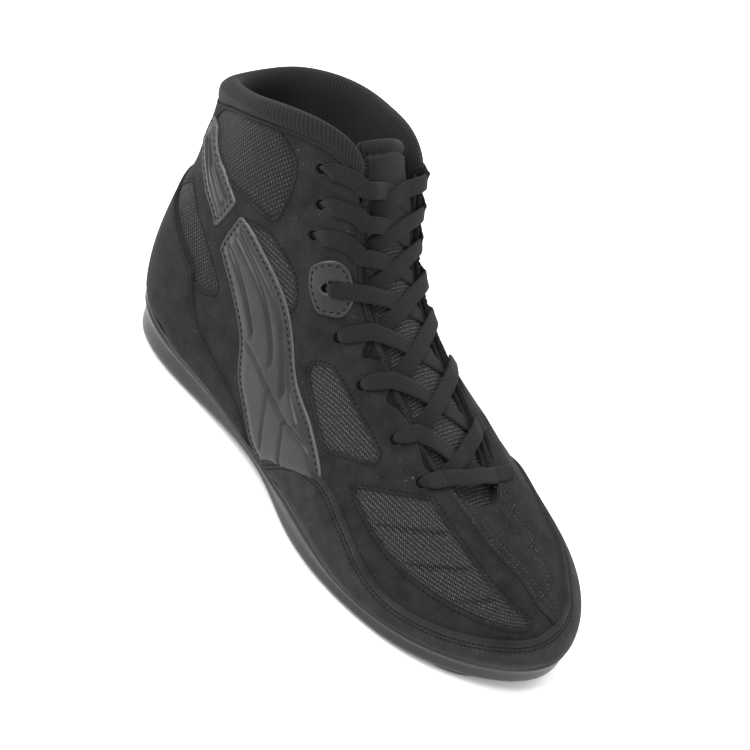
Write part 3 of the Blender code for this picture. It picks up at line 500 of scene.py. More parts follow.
# Materials: each from its real finish, colours as sRGB hex, scales from mm
def hexColour(text):  # sRGB hex to linear with full cover
    parts = [int(text[i:i + 2], 16) / 255.0 for i in (1, 3, 5)]
    return tuple(p / 12.92 if p <= 0.04045 else ((p + 0.055) / 1.055) ** 2.4 for p in parts) + (1.0,)


def newMaterial(name):
    material = bpy.data.materials.new(name)
    material.use_nodes = True
    material.node_tree.nodes.clear()
    surface = addNode(material, "ShaderNodeBsdfPrincipled", {})
    addNode(material, "ShaderNodeOutputMaterial", {"Surface": surface.outputs["BSDF"]})
    return material, surface


def addNode(material, kind, inputs, **settings):  # one node with its settings, values and links
    tree = material.node_tree
    node = tree.nodes.new(kind)
    for key, value in settings.items():
        setattr(node, key, value)
    for key, value in inputs.items():
        if isinstance(value, bpy.types.NodeSocket):
            tree.links.new(value, node.inputs[key])
        else:
            node.inputs[key].default_value = value
    return node


def addRamp(material, factor, stops, interpolation="LINEAR"):
    node = addNode(material, "ShaderNodeValToRGB", {"Fac": factor})
    ramp = node.color_ramp
    ramp.interpolation = interpolation
    while len(ramp.elements) < len(stops):
        ramp.elements.new(0.5)
    for element, (place, colour) in zip(ramp.elements, stops):
        element.position = place
        element.color = hexColour(colour) if isinstance(colour, str) else (colour, colour, colour, 1.0)
    return node.outputs["Color"]


def mathNode(material, operation, a, b=0.5, c=0.5):
    node = addNode(material, "ShaderNodeMath", {0: a, 1: b, 2: c}, operation=operation)
    return node.outputs[0]


def wave(material, place, angle):  # sine of the place times the angle
    return mathNode(material, "SINE", mathNode(material, "MULTIPLY", place, angle))


def mixColour(material, share, base, colour):  # a share of one colour laid over another
    node = addNode(material, "ShaderNodeMix", {0: share, 6: base, 7: hexColour(colour)}, data_type="RGBA")
    return node.outputs[2]


def setValues(surface, values):  # uniform values stand on the sockets themselves
    for socket, value in values.items():
        surface.inputs[socket].default_value = value


def objectPlace(material):
    return addNode(material, "ShaderNodeTexCoord", {}).outputs["Object"]


def clothUv(material):
    return addNode(material, "ShaderNodeUVMap", {}, uv_map="cloth").outputs["UV"]


def noise(material, place, size, detail=2.0, rough=0.5):  # size is the real width of a patch
    node = addNode(material, "ShaderNodeTexNoise",
                   {"Vector": place, "Scale": 1.0 / size, "Detail": detail, "Roughness": rough})
    return node.outputs["Fac"]


def link(material, target, socket, source):
    material.node_tree.links.new(source, target.inputs[socket])


def bump(material, height, distance, strength, normal=None):
    inputs = {"Height": height, "Distance": distance, "Strength": strength}
    if normal is not None:
        inputs["Normal"] = normal
    return addNode(material, "ShaderNodeBump", inputs).outputs["Normal"]


suedeLook = {"dark": "#111111", "light": "#242424", "worn": "#2c2c2c", "nap": 0.35 * mm, "patch": 9.0 * mm}


def makeSuede(name, look):  # split cowhide, brushed: a short nap, dull and cloudy, paler where hands rub the edges
    material, surface = newMaterial(name)
    place = objectPlace(material)
    cloud = noise(material, place, look["patch"], 4.0, 0.6)
    nap = noise(material, place, look["nap"], 3.0, 0.7)
    mixed = mathNode(material, "MULTIPLY_ADD", cloud, 0.65, mathNode(material, "MULTIPLY", nap, 0.55))
    base = addRamp(material, mixed, [(0.42, look["dark"]), (0.78, look["light"])])
    edge = addNode(material, "ShaderNodeAttribute", {}, attribute_name="edge").outputs["Fac"]
    wear = addRamp(material, mathNode(material, "ADD", mathNode(material, "MULTIPLY", edge, 0.55), nap),
                   [(0.35, 1.0), (0.85, 0.0)])
    colour = mixColour(material, mathNode(material, "MULTIPLY", wear, 0.35), base, look["worn"])
    lint = addRamp(material, noise(material, place, 0.9 * mm, 1.0), [(0.765, 0.0), (0.79, 1.0)])  # pale dust and lint
    dusty = mixColour(material, mathNode(material, "MULTIPLY", lint, 0.4), colour, "#8a8a88")
    link(material, surface, "Base Color", dusty)
    setValues(surface, {"Roughness": 0.95, "Specular IOR Level": 0.10, "Sheen Weight": 0.04, "Sheen Roughness": 0.5})
    fine = bump(material, nap, 0.12 * mm, 0.55)
    link(material, surface, "Normal", bump(material, noise(material, place, 4.0 * mm, 3.0), 0.25 * mm, 0.5, fine))
    return material


leatherLook = {"dark": "#0e0e0f", "light": "#161717", "pore": 0.5 * mm}


def makeLeather(name, look):  # polyurethane coated leather, embossed: smooth, satin, with faint pores
    material, surface = newMaterial(name)
    place = objectPlace(material)
    base = addRamp(material, noise(material, place, 12.0 * mm, 3.0), [(0.35, look["dark"]), (0.7, look["light"])])
    edge = addNode(material, "ShaderNodeAttribute", {}, attribute_name="edge").outputs["Fac"]
    edgeHighlight = addRamp(material, edge, [(0.25, 1.0), (0.55, 0.0)])  # painted highlight: a paler rim along the cut edge, where the bevel catches the light
    link(material, surface, "Base Color", mixColour(material, edgeHighlight, base, "#4a4b4c"))
    rough = addNode(material, "ShaderNodeMapRange",
                    {"Value": noise(material, place, 5.0 * mm, 4.0), "To Min": 0.34, "To Max": 0.50})
    link(material, surface, "Roughness", rough.outputs["Result"])
    setValues(surface, {"IOR": 1.5, "Specular IOR Level": 0.42})
    pores = addNode(material, "ShaderNodeTexVoronoi", {"Vector": place, "Scale": 1.0 / look["pore"]})
    first = bump(material, pores.outputs["Distance"], 0.04 * mm, 0.35)
    link(material, surface, "Normal", bump(material, noise(material, place, 6.0 * mm), 0.2 * mm, 0.35, first))
    return material


def makeDotMesh(name, pitch):  # spacer mesh, knitted: round cells between cords, with painted highlights where the cells rise
    material, surface = newMaterial(name)
    cloth = clothUv(material)
    split = addNode(material, "ShaderNodeSeparateXYZ", {"Vector": cloth})
    angle = 2.0 * math.pi / pitch
    first = wave(material, split.outputs["X"], angle)
    second = wave(material, split.outputs["Y"], angle * 0.8)
    cells = mathNode(material, "MULTIPLY", first, second)  # staggered bumps and pits, like a chessboard
    thread = noise(material, cloth, 0.35 * mm, 2.0)
    level = mathNode(material, "MULTIPLY_ADD", cells, 0.5, mathNode(material, "MULTIPLY", thread, 0.5))
    # painted highlight: the colour follows the cell height, pale on the raised cells
    base = addRamp(material, level, [(0.16, "#050505"), (0.50, "#0e0e0f"), (0.70, "#222223"), (0.82, "#868789")])
    link(material, surface, "Base Color", base)
    setValues(surface, {"Roughness": 0.7, "Specular IOR Level": 0.2, "Sheen Weight": 0.03})
    link(material, surface, "Normal", bump(material, level, 0.5 * mm, 0.9))
    return material


def makeWovenMesh(name, pitch):  # warp-knit mesh of filament yarn: short slanted stitches with specks of light
    material, surface = newMaterial(name)
    cloth = clothUv(material)
    split = addNode(material, "ShaderNodeSeparateXYZ", {"Vector": cloth})
    angle = 2.0 * math.pi / pitch
    wander = mathNode(material, "MULTIPLY", noise(material, cloth, 3.0 * mm), 1.2)
    columns = mathNode(material, "SINE", mathNode(material, "MULTIPLY_ADD", split.outputs["Y"], angle, wander))
    slant = mathNode(material, "MULTIPLY_ADD", split.outputs["Y"], 0.6, split.outputs["X"])
    stitches = wave(material, slant, angle * 1.5)
    yarn = mathNode(material, "MULTIPLY_ADD", stitches, 0.15, noise(material, cloth, 0.6 * mm, 2.0))
    level = mathNode(material, "MULTIPLY_ADD", columns, 0.13, yarn)
    base = addRamp(material, level, [(0.28, "#080808"), (0.50, "#151516"), (0.66, "#27272a"), (0.86, "#56585b")])
    link(material, surface, "Base Color", base)
    setValues(surface, {"Roughness": 0.72, "Specular IOR Level": 0.2, "Sheen Weight": 0.03})
    link(material, surface, "Normal", bump(material, level, 0.35 * mm, 0.8))
    return material


def makeKnit(name, pitch, dark, light, slant=0.35):  # ribbed jersey over foam: soft dull ribs of fine loops
    material, surface = newMaterial(name)
    cloth = clothUv(material)
    split = addNode(material, "ShaderNodeSeparateXYZ", {"Vector": cloth})
    angle = 2.0 * math.pi / pitch
    across = mathNode(material, "MULTIPLY_ADD", split.outputs["Y"], slant, split.outputs["X"])
    ribs = wave(material, across, angle)
    loops = wave(material, split.outputs["Y"], angle * 1.1)
    fuzz = noise(material, cloth, 0.4 * mm, 3.0)
    level = mathNode(material, "MULTIPLY_ADD", ribs, 0.28, mathNode(material, "MULTIPLY_ADD", loops, 0.18, fuzz))
    base = addRamp(material, level, [(0.15, dark), (0.85, light)])
    link(material, surface, "Base Color", base)
    setValues(surface, {"Roughness": 0.85, "Specular IOR Level": 0.15, "Sheen Weight": 0.05, "Sheen Roughness": 0.5})
    link(material, surface, "Normal", bump(material, level, 0.3 * mm, 0.7))
    return material


def makeRubber(name):  # moulded rubber: a satin skin, its tone and roughness cloudy
    material, surface = newMaterial(name)
    place = objectPlace(material)
    cloud = noise(material, place, 14.0 * mm, 4.0, 0.6)
    link(material, surface, "Base Color", addRamp(material, cloud, [(0.3, "#090909"), (0.75, "#121213")]))
    rough = addNode(material, "ShaderNodeMapRange",
                    {"Value": noise(material, place, 3.0 * mm, 5.0), "To Min": 0.24, "To Max": 0.44})
    link(material, surface, "Roughness", rough.outputs["Result"])
    setValues(surface, {"IOR": 1.5, "Specular IOR Level": 0.45})
    link(material, surface, "Normal", bump(material, noise(material, place, 0.8 * mm, 3.0), 0.05 * mm, 0.5))
    return material


def makeLaceWeave(name):  # flat braided polyester lace: slanted ribs that meet in a fine herringbone
    material, surface = newMaterial(name)
    cloth = clothUv(material)  # along the lace and across it, in metres
    split = addNode(material, "ShaderNodeSeparateXYZ", {"Vector": cloth})
    bend = mathNode(material, "PINGPONG", split.outputs["Y"], 1.0 * mm)
    angle = 2.0 * math.pi / (0.95 * mm)
    ribs = wave(material, mathNode(material, "ADD", split.outputs["X"], bend), angle)
    fuzz = noise(material, cloth, 0.4 * mm, 3.0)
    level = mathNode(material, "MULTIPLY_ADD", ribs, 0.25, fuzz)
    link(material, surface, "Base Color", addRamp(material, level, [(0.25, "#080808"), (0.8, "#202022")]))
    setValues(surface, {"Roughness": 0.8, "Specular IOR Level": 0.15, "Sheen Weight": 0.04})
    link(material, surface, "Normal", bump(material, level, 0.35 * mm, 0.9))
    return material


def makeThread(name, colour):  # bonded polyester sewing thread, twisted: small and faintly glossy
    material, surface = newMaterial(name)
    place = objectPlace(material)
    base = addRamp(material, noise(material, place, 0.6 * mm, 2.0), [(0.3, "#040404"), (0.7, colour)])
    link(material, surface, "Base Color", base)
    setValues(surface, {"Roughness": 0.7, "Specular IOR Level": 0.12})
    link(material, surface, "Normal", bump(material, noise(material, place, 0.3 * mm), 0.1 * mm, 0.6))
    return material


finishes = {
    "suede": makeSuede("brushedSuede", suedeLook),
    "suedeToe": makeSuede("brushedSuedeToe", dict(suedeLook, dark="#181818", light="#2d2d2c")),
    "leather": makeLeather("coatedLeather", leatherLook),
    "dotMesh": makeDotMesh("spacerMesh", 2.1 * mm),
    "wovenMesh": makeWovenMesh("warpKnitMesh", 1.7 * mm),
    "knit": makeKnit("ribbedJersey", 1.3 * mm, "#080808", "#1d1d1e"),
    "lining": makeKnit("jerseyLining", 1.3 * mm, "#060606", "#171718"),
    "rubber": makeRubber("mouldedRubber"),
    "lace": makeLaceWeave("braidedLace"),
    "thread": makeThread("sewingThread", "#0b0b0b"),
    "paleThread": makeThread("quiltingThread", "#4b4b4a"),
    # painted shade: near-black filling for the depth of the punched eyelet holes
    "hole": makeThread("paintedHoleShade", "#060606"),
}
print("materials made")


# The wall: foam and lining behind everything else, a closed shell with the wall's own thickness
wallPiece = {"roundSteps": 240, "heightSteps": 44, "collarDrop": 6.5 * mm}


def collarShare(station):  # 1 round the ankle and 0 along the throat
    away = np.abs(np.mod(station + 10.0, last["stations"]) - 10.0)
    return 1.0 - smoothStep(away, 4.15, 4.65)


def heightBelowRim(station, distance):
    near = lastPoint(station, 1.0) - lastPoint(station, 0.97)
    return 1.0 - 0.03 * np.asarray(distance) / np.linalg.norm(near, axis=-1)


def makeWall(settings):
    station = np.arange(settings["roundSteps"]) * last["stations"] / settings["roundSteps"]
    top = heightBelowRim(station, settings["collarDrop"] * collarShare(station))
    height = np.linspace(0.0, 1.0, settings["heightSteps"])[:, None] * top[None, :]
    around = np.broadcast_to(station, height.shape)
    outside = skin(around, height, np.full(height.shape, -0.2 * mm))
    inside = skin(around, height[::-1], np.full(height.shape, -last["wall"]))
    points = np.concatenate([outside, inside])
    uv = clothPlace(np.concatenate([around, around]), np.concatenate([height, height[::-1]]))
    faces = gridFaces(len(points), settings["roundSteps"], closeRows=True, closeColumns=True)
    faces = [face[::-1] for face in faces]
    return newObject("wall_shell", points, faces, uv)


wall = finishPiece(makeWall(wallPiece), finishes["lining"], ["upper"])
print("wall made")


# Panels of suede and smooth leather, cut in the plane of station and height share
def mirrored(points):  # the same outline on the other side of the last
    return [(last["stations"] - p[0],) + tuple(p[1:]) for p in points]


def collarDrop(station):  # how far below the topline the roll is sewn on: deeper at the heel
    away = np.abs(np.mod(np.asarray(station, float) + 10.0, last["stations"]) - 10.0)
    return (5.6 * mm + 4.0 * mm * (1.0 - smoothStep(away, 0.9, 2.4))) * collarShare(station)


def straight(start, end, count=40):
    return np.linspace(start, end, count)


def collarSeam(start, end, count=60):
    station = np.linspace(start, end, count)
    return np.stack([station, heightBelowRim(station, collarDrop(station))], axis=1)


scallops = [(8.14, 0.985), (7.78, 0.945), (7.62, 0.925), (7.42, 0.975), (7.18, 0.985), (6.90, 0.945), (6.72, 0.905),
            (6.58, 0.975), (6.34, 0.98), (6.14, 0.92), (6.03, 0.885), (5.92, 0.965), (5.66, 0.975), (5.30, 0.98),
            (4.98, 0.985), (4.62, 0.985), (4.30, 0.985)]
vampSeam = [(9.97, 0.02), (9.93, 0.33), (9.78, 0.47), (9.60, 0.67), (8.98, 0.87), (8.14, 0.985)]
windows = {
    "a": [(1.72, 0.925), (2.30, 0.935), (2.82, 0.942), (2.98, 0.925), (3.14, 0.89), (3.23, 0.86), (3.28, 0.80),
          (3.28, 0.74), (3.24, 0.685), (3.10, 0.675), (2.72, 0.70), (1.96, 0.735), (1.52, 0.79), (1.42, 0.87)],
    "b": [(0.94, 0.545), (1.36, 0.61), (1.52, 0.61), (1.86, 0.565), (2.36, 0.485), (2.78, 0.39), (2.72, 0.355),
          (2.40, 0.345), (2.28, 0.40), (1.60, 0.475), (1.02, 0.51)],
    "c": [(2.80, 0.605), (3.16, 0.625), (3.40, 0.61), (3.76, 0.58), (3.94, 0.535), (3.84, 0.505), (3.56, 0.50),
          (3.20, 0.54)],
    "e": [(5.22, 0.60), (5.56, 0.69), (5.80, 0.71), (6.20, 0.712), (6.94, 0.705), (7.06, 0.68), (7.00, 0.64),
          (6.66, 0.555), (6.36, 0.485), (6.16, 0.485), (5.70, 0.54)],
    "g": [(7.08, 0.49), (7.12, 0.515), (7.40, 0.62), (7.90, 0.80), (8.04, 0.815), (8.72, 0.72), (9.20, 0.565),
          (9.58, 0.40), (9.58, 0.365), (9.44, 0.352), (9.20, 0.362), (8.74, 0.388), (8.22, 0.40), (7.82, 0.41),
          (7.42, 0.44), (7.16, 0.465)],
}
eyelets = [(7.70, 0.84), (7.12, 0.84), (6.26, 0.81), (5.44, 0.80), (4.52, 0.74), (3.76, 0.72), (3.68, 0.80),
           (3.52, 0.885)]
medialSlide = [0.34, 0.20, 0.10, 0.0, 0.0, 0.0, 0.0, 0.0]  # stations by which the medial eyelets stand forward
eyeletRadius = 2.1 * mm


def eyeletAt(row, medial):
    station, height = eyelets[row]
    return (last["stations"] - station - medialSlide[row] if medial else station), height


def circleOn(station, height, radius, count=20):  # circle of a real radius round a place on the wall
    _, _, around, upward = lastFrame(np.array([station]), np.array([height]))
    angle = np.arange(count) * 2.0 * math.pi / count
    # the two directions of the plane aren't quite square, so both are solved for
    first = unitRows(around)[0]
    second = upward[0] - first * (upward[0] @ first)
    second /= np.linalg.norm(second)
    basis = np.array([[around[0] @ first, upward[0] @ first], [around[0] @ second, upward[0] @ second]])
    turn = np.linalg.solve(basis, radius * np.stack([np.cos(angle), np.sin(angle)]))
    return np.stack([station + turn[0], height + turn[1]], axis=1)


seamInset = 1.9 * mm  # from a cut edge to its stitches
toeSeams = [2.9 * mm, 4.7 * mm]  # the double row round the toe
vampSeams = [seamInset, 4.9 * mm]
suedePanel = {"lift": 0.0, "thickness": 1.3 * mm, "round": 0.55 * mm, "dip": 0.28 * mm, "puff": 0.15 * mm,
              "rings": [0.15 * mm, 0.4 * mm, 0.8 * mm, 1.3 * mm, 1.7 * mm, 2.1 * mm, 2.6 * mm, 3.4 * mm],
              "seams": [seamInset], "spacing": 2.4 * mm}
pitch = 1.1 * mm


def cutLoop(outline, mirror):
    return resample(smoothLine(mirrored(outline) if mirror else outline), pitch)


def windowLoops(names, mirror):
    return [cutLoop(windows[name], mirror) for name in names]


def eyeletLoops(rows, mirror):
    return [circleOn(*eyeletAt(row, mirror), eyeletRadius) for row in rows]


def chain(*lines):
    return resample(np.vstack(lines), pitch)


lateralOutline = chain(straight((0.0, 0.02), (9.97, 0.02), 90), smoothLine(vampSeam, closed=False),
                       smoothLine(scallops, closed=False), collarSeam(4.25, 0.0), straight((0.0, 0.9), (0.0, 0.03)))
medialOutline = chain(straight((20.0, 0.02), (9.99, 0.02), 90),
                      smoothLine([(k + 0.02, v) for k, v in vampSeam[:-1]] + [(8.2, 0.985)], closed=False),
                      straight((8.3, 0.985), (11.8, 0.985), 50),
                      smoothLine(mirrored(scallops), closed=False), collarSeam(15.75, 20.0),
                      straight((20.0, 0.9), (20.0, 0.03)))
emboss = [[(9.32, 0.82), (10.62, 0.90), (11.86, 0.83)], [(9.60, 0.68), (10.12, 0.73), (11.10, 0.71)],
          [(9.82, 0.50), (10.22, 0.55), (10.60, 0.56)]]


def lineTrough(place, lines, width, depth):  # bell-shaped trough along curved lines on the wall
    spots = lastPoint(place[:, 0], place[:, 1])
    total = np.zeros(len(place))
    for line in lines:
        fine = resample(smoothLine(line, closed=False), 0.6 * mm, closed=False)
        away = nearestDistance(spots, lastPoint(fine[:, 0], fine[:, 1]))
        total -= depth * np.exp(-(away / width) ** 2)
    return total


vampOutline = chain(smoothLine(vampSeam, closed=False), straight((8.3, 0.99), (11.7, 0.99), 50),
                    smoothLine(mirrored(vampSeam)[::-1], closed=False))
vampStrip = panelPiece("vamp_strip", vampOutline, [],
                       dict(suedePanel, lift=1.0 * mm, thickness=0.75 * mm, seams=vampSeams, guides=emboss),
                       lambda place, away: lineTrough(place, emboss, 0.7 * mm, 0.7 * mm))
finishPiece(vampStrip, finishes["suede"])
quarterLateral = panelPiece("quarter_lateral", lateralOutline,
                            windowLoops("abceg", False) + eyeletLoops(range(8), False), suedePanel)
quarterMedial = panelPiece("quarter_medial", medialOutline,
                           windowLoops("abce", True) + eyeletLoops(range(8), True), suedePanel)
finishPiece(quarterLateral, finishes["suede"], ["eyestay"])
finishPiece(quarterMedial, finishes["suede"])
print("quarters made")

# Mesh seen through the windows, slightly domed by the foam behind it
meshWindow = {"lift": -0.1 * mm, "thickness": 0.9 * mm, "round": 5.0 * mm, "dip": 0.0, "rings": [1.0 * mm],
              "seams": [], "spacing": 1.6 * mm}
sunkenSeams = [[(7.36, 0.42), (7.90, 0.60), (8.50, 0.77)], [(7.84, 0.39), (8.44, 0.54), (9.06, 0.66)],
               [(8.60, 0.37), (9.00, 0.46), (9.46, 0.54)]]
for mirror, side in ((False, "lateral"), (True, "medial")):
    for name in "abceg" if not mirror else "abce":
        loop = turned(smoothLine(mirrored(windows[name]) if mirror else windows[name]), True)
        wide = sideways(resample(loop, 1.5 * mm), -2.0 * mm)
        seams = sunkenSeams if name == "g" else []
        cloth = panelPiece(f"mesh_{name}_{side}", wide, [], dict(meshWindow, guides=seams), lambda place, away:
                           (lineTrough(place, seams, 1.1 * mm, 1.7 * mm) - lineTrough(place, seams, 5.0 * mm, 0.9 * mm))
                           * smoothStep(away, 2.0 * mm, 5.5 * mm))
        finishPiece(cloth, finishes["dotMesh" if name in "ab" else "wovenMesh"])
print("windows made")

overlayPanel = dict(suedePanel, lift=0.95 * mm, thickness=1.45 * mm)
counterSide = [(0.60, 0.585), (0.88, 0.535), (1.20, 0.50), (1.60, 0.465), (2.26, 0.39), (2.44, 0.33), (2.72, 0.22),
               (3.12, 0.16), (3.76, 0.11), (4.42, 0.02, 1)]
counterLine = [(-k, v) for k, v in [p[:2] for p in counterSide[::-1]]]
counterOutline = resample(smoothLine([(-4.42, 0.02, 1)] + counterLine[1:] + [(0.0, 0.60)] + counterSide), pitch)
heelCounter = panelPiece("heel_counter_suede", counterOutline, [], overlayPanel)
finishPiece(heelCounter, finishes["suede"], ["heel_counter"])

mudguardTop = [(5.56, 0.22), (6.28, 0.345), (6.80, 0.378), (7.30, 0.32), (7.66, 0.25), (8.08, 0.212), (8.64, 0.228),
               (9.20, 0.26), (9.62, 0.285), (9.98, 0.345), (10.30, 0.40), (10.50, 0.48), (11.06, 0.61), (11.60, 0.655),
               (12.30, 0.60), (13.00, 0.46), (13.80, 0.36), (14.60, 0.20)]
mudguardLine = smoothLine([(4.60, 0.0)] + mudguardTop + [(15.40, 0.0)], closed=False)
mudguardOutline = chain(mudguardLine, straight((15.38, 0.0), (4.64, 0.0), 90))
mudguard = panelPiece("mudguard_suede", mudguardOutline, [],
                      dict(overlayPanel, thickness=1.75 * mm, seams=toeSeams, puff=0.3 * mm, round=0.9 * mm,
                           rings=suedePanel["rings"] + [2.9 * mm, 3.8 * mm, 4.7 * mm, 5.3 * mm, 6.2 * mm]))
finishPiece(mudguard, finishes["suedeToe"], ["mudguard"])

saddleUpper = [(1.30, 0.875), (1.62, 0.86, 1), (1.90, 0.79), (2.30, 0.725), (2.60, 0.672), (2.64, 0.65), (2.50, 0.572),
               (2.44, 0.56), (2.30, 0.59), (1.62, 0.70), (1.20, 0.78, 1)]
saddleLower = [(2.86, 0.628), (3.36, 0.565), (3.95, 0.515), (4.60, 0.495), (5.30, 0.49), (5.90, 0.465), (6.45, 0.38),
               (6.50, 0.30, 1), (5.80, 0.17), (4.90, 0.03, 1), (4.44, 0.05), (4.08, 0.11), (3.66, 0.20), (3.44, 0.31),
               (3.10, 0.40), (2.78, 0.482), (2.68, 0.515), (2.76, 0.60)]
saddleGrooves = [[(1.52, 0.80), (2.10, 0.665), (2.76, 0.545), (3.20, 0.46), (3.62, 0.37)],
                 [(1.62, 0.805), (2.24, 0.68), (3.00, 0.555), (3.60, 0.47), (4.16, 0.375)],
                 [(1.76, 0.80), (2.50, 0.67), (3.30, 0.545), (4.10, 0.47), (4.80, 0.39)],
                 [(2.60, 0.665), (3.40, 0.55), (4.30, 0.485), (5.00, 0.455), (5.56, 0.415)]]
saddleFeet = [[(3.56, 0.325), (4.20, 0.315), (5.00, 0.335), (5.80, 0.375), (6.30, 0.405)],
              [(4.42, 0.315), (4.60, 0.22), (4.78, 0.12)], [(5.20, 0.335), (5.36, 0.25), (5.50, 0.17)]]


def saddleShape(lines, feet):
    def shape(place, away):  # padding pressed down along the grooves, which fade before the cut edge
        ribs = 1.15 * mm + lineTrough(place, lines, 1.0 * mm, 1.35 * mm) + lineTrough(place, feet, 0.9 * mm, 1.0 * mm)
        return ribs * smoothStep(away, 2.6 * mm, 6.5 * mm)
    return shape


leatherPanel = dict(suedePanel, lift=0.95 * mm, thickness=1.35 * mm, round=0.5 * mm, puff=0.12 * mm, spacing=1.8 * mm)
tabOutline = [(3.94, 0.66), (3.99, 0.69), (4.12, 0.73), (4.42, 0.81), (4.86, 0.915), (5.10, 0.945), (5.26, 0.955),
              (5.36, 0.92), (5.28, 0.85), (4.96, 0.765), (4.60, 0.675), (4.22, 0.635), (4.02, 0.635)]
for mirror, side in ((False, "lateral"), (True, "medial")):
    flip = mirrored if mirror else list
    grooves, feet = [flip(line) for line in saddleGrooves], [flip(line) for line in saddleFeet]
    patches = [panelPiece(f"patch_{number}", cutLoop(patch, mirror), [],
                          dict(leatherPanel, guides=grooves + feet), saddleShape(grooves, feet))
               for number, patch in enumerate((saddleUpper, saddleLower))]
    saddle = joined(f"saddle_{side}_leather", patches)
    finishPiece(saddle, finishes["leather"], [f"saddle_{side}"])
    tab = panelPiece(f"eyelet_tab_{side}_leather", cutLoop(tabOutline, mirror), eyeletLoops([4], mirror),
                     dict(leatherPanel, spacing=1.6 * mm))
    finishPiece(tab, finishes["leather"], [f"eyelet_tab_{side}"])
print("overlays made")


# Stitches: small capsules laid along seam lines, all joined in one mesh
def capsule():  # squashed capsule along X, its section a circle that closes at both ends
    rings, sides = 5, 6
    t = np.linspace(-1.0, 1.0, rings)
    radius = np.sqrt(np.maximum(1.0 - np.abs(t) ** 3, 0.05))
    angle = np.arange(sides) * 2.0 * math.pi / sides
    points = np.stack([np.broadcast_to(t[:, None], (rings, sides)), radius[:, None] * np.cos(angle)[None],
                       radius[:, None] * np.sin(angle)[None]], axis=-1).reshape(-1, 3)
    faces = [tuple(f[::-1]) for f in gridFaces(rings, sides, closeColumns=True)]
    return points, faces + [tuple(range(sides)), tuple(range((rings - 1) * sides, rings * sides))[::-1]]


capsulePoints, capsuleFaces = capsule()
stitchSpots, stitchFrames = [], []
stitchSize = {"length": 1.75 * mm, "width": 0.8 * mm, "height": 0.6 * mm, "pitch": 2.4 * mm, "slant": 0.12}


def stitchRow(line, lift, closed=True, step=None):
    spots = resample(line, step or stitchSize["pitch"], closed)
    if not closed:
        spots = spots[1:-1]
    spots = spots[freeOfFlange(spots[:, 0], spots[:, 1]) > 0.97]
    place = skin(spots[:, 0], spots[:, 1], np.full(len(spots), lift))
    ahead = np.roll(place, -1, axis=0) - np.roll(place, 1, axis=0)
    if not closed:
        ahead[0], ahead[-1] = place[1] - place[0], place[-1] - place[-2]
    _, normal, _, _ = lastFrame(spots[:, 0], spots[:, 1])
    along = unitRows(ahead - normal * np.sum(ahead * normal, axis=1)[:, None])
    side = np.cross(normal, along)
    along = unitRows(along + side * stitchSize["slant"])
    side = np.cross(normal, along)
    stitchSpots.append(place)
    stitchFrames.append(np.stack([along * stitchSize["length"] / 2, side * stitchSize["width"] / 2,
                                  normal * stitchSize["height"] / 2], axis=1))


def insetRow(loop, outer, lift, step=None):  # seam line set in from a cut edge, kept off tight corners
    line = sideways(turned(loop, outer), seamInset)
    spots, edge = lastPoint(line[:, 0], line[:, 1]), lastPoint(loop[:, 0], loop[:, 1])
    good = nearestDistance(spots, edge) > 0.9 * seamInset
    stitchRow(line[good], lift, step=step)


suedeTop = suedePanel["thickness"] - 0.22 * mm
overlayTop = overlayPanel["lift"] + overlayPanel["thickness"] - 0.22 * mm
leatherTop = leatherPanel["lift"] + leatherPanel["thickness"] - 0.16 * mm
for mirror in (False, True):
    for loop in windowLoops("abceg" if not mirror else "abce", mirror):
        insetRow(loop, False, suedeTop)
    for outline in (saddleUpper, saddleLower, tabOutline):
        insetRow(cutLoop(outline, mirror), True, leatherTop, 3.1 * mm)
    turn = 1 if mirror else -1
    throatLine = smoothLine(mirrored(scallops) if mirror else scallops, closed=False)[::turn]
    stitchRow(sideways(throatLine, seamInset, closed=False)[::-1 if mirror else 1], suedeTop, closed=False)
rim = np.linspace(-4.2, 4.2, 160)
stitchRow(np.stack([rim, heightBelowRim(rim, collarDrop(rim) + seamInset)], axis=1), suedeTop, closed=False)
counterTop = smoothLine([p[:2] for p in counterLine] + [(0.0, 0.60)] + [p[:2] for p in counterSide], closed=False)
stitchRow(sideways(counterTop, -seamInset, closed=False), overlayTop, closed=False)
for distance in toeSeams:
    stitchRow(sideways(mudguardLine, -distance, closed=False), overlayTop + 0.26 * mm, closed=False, step=2.0 * mm)


def makeStitches(name, finish):  # every stitch laid so far, as one piece
    spots, frames = np.concatenate(stitchSpots), np.concatenate(stitchFrames)
    points = spots[:, None, :] + np.einsum("pc,ncd->npd", capsulePoints, frames)
    starts = np.arange(len(spots)) * len(capsulePoints)
    allFaces = [tuple(int(i + start) for i in f) for start in starts for f in capsuleFaces]
    made = newObject(name, points.reshape(-1, 3), allFaces)
    finishPiece(made, finish)
    stitchSpots.clear()
    stitchFrames.clear()
    print(name, len(spots))


makeStitches("stitching", finishes["thread"])
stitchSize.update(width=0.5 * mm, height=0.4 * mm, length=1.3 * mm)
for distance in vampSeams:
    for line in (smoothLine(vampSeam[1:], closed=False), smoothLine(mirrored(vampSeam[1:])[::-1], closed=False)):
        stitchRow(sideways(line, -distance, closed=False), 1.62 * mm, closed=False, step=1.9 * mm)
for line in emboss:
    stitchRow(smoothLine(line, closed=False), 1.45 * mm, closed=False, step=1.9 * mm)
makeStitches("quilting", finishes["paleThread"])


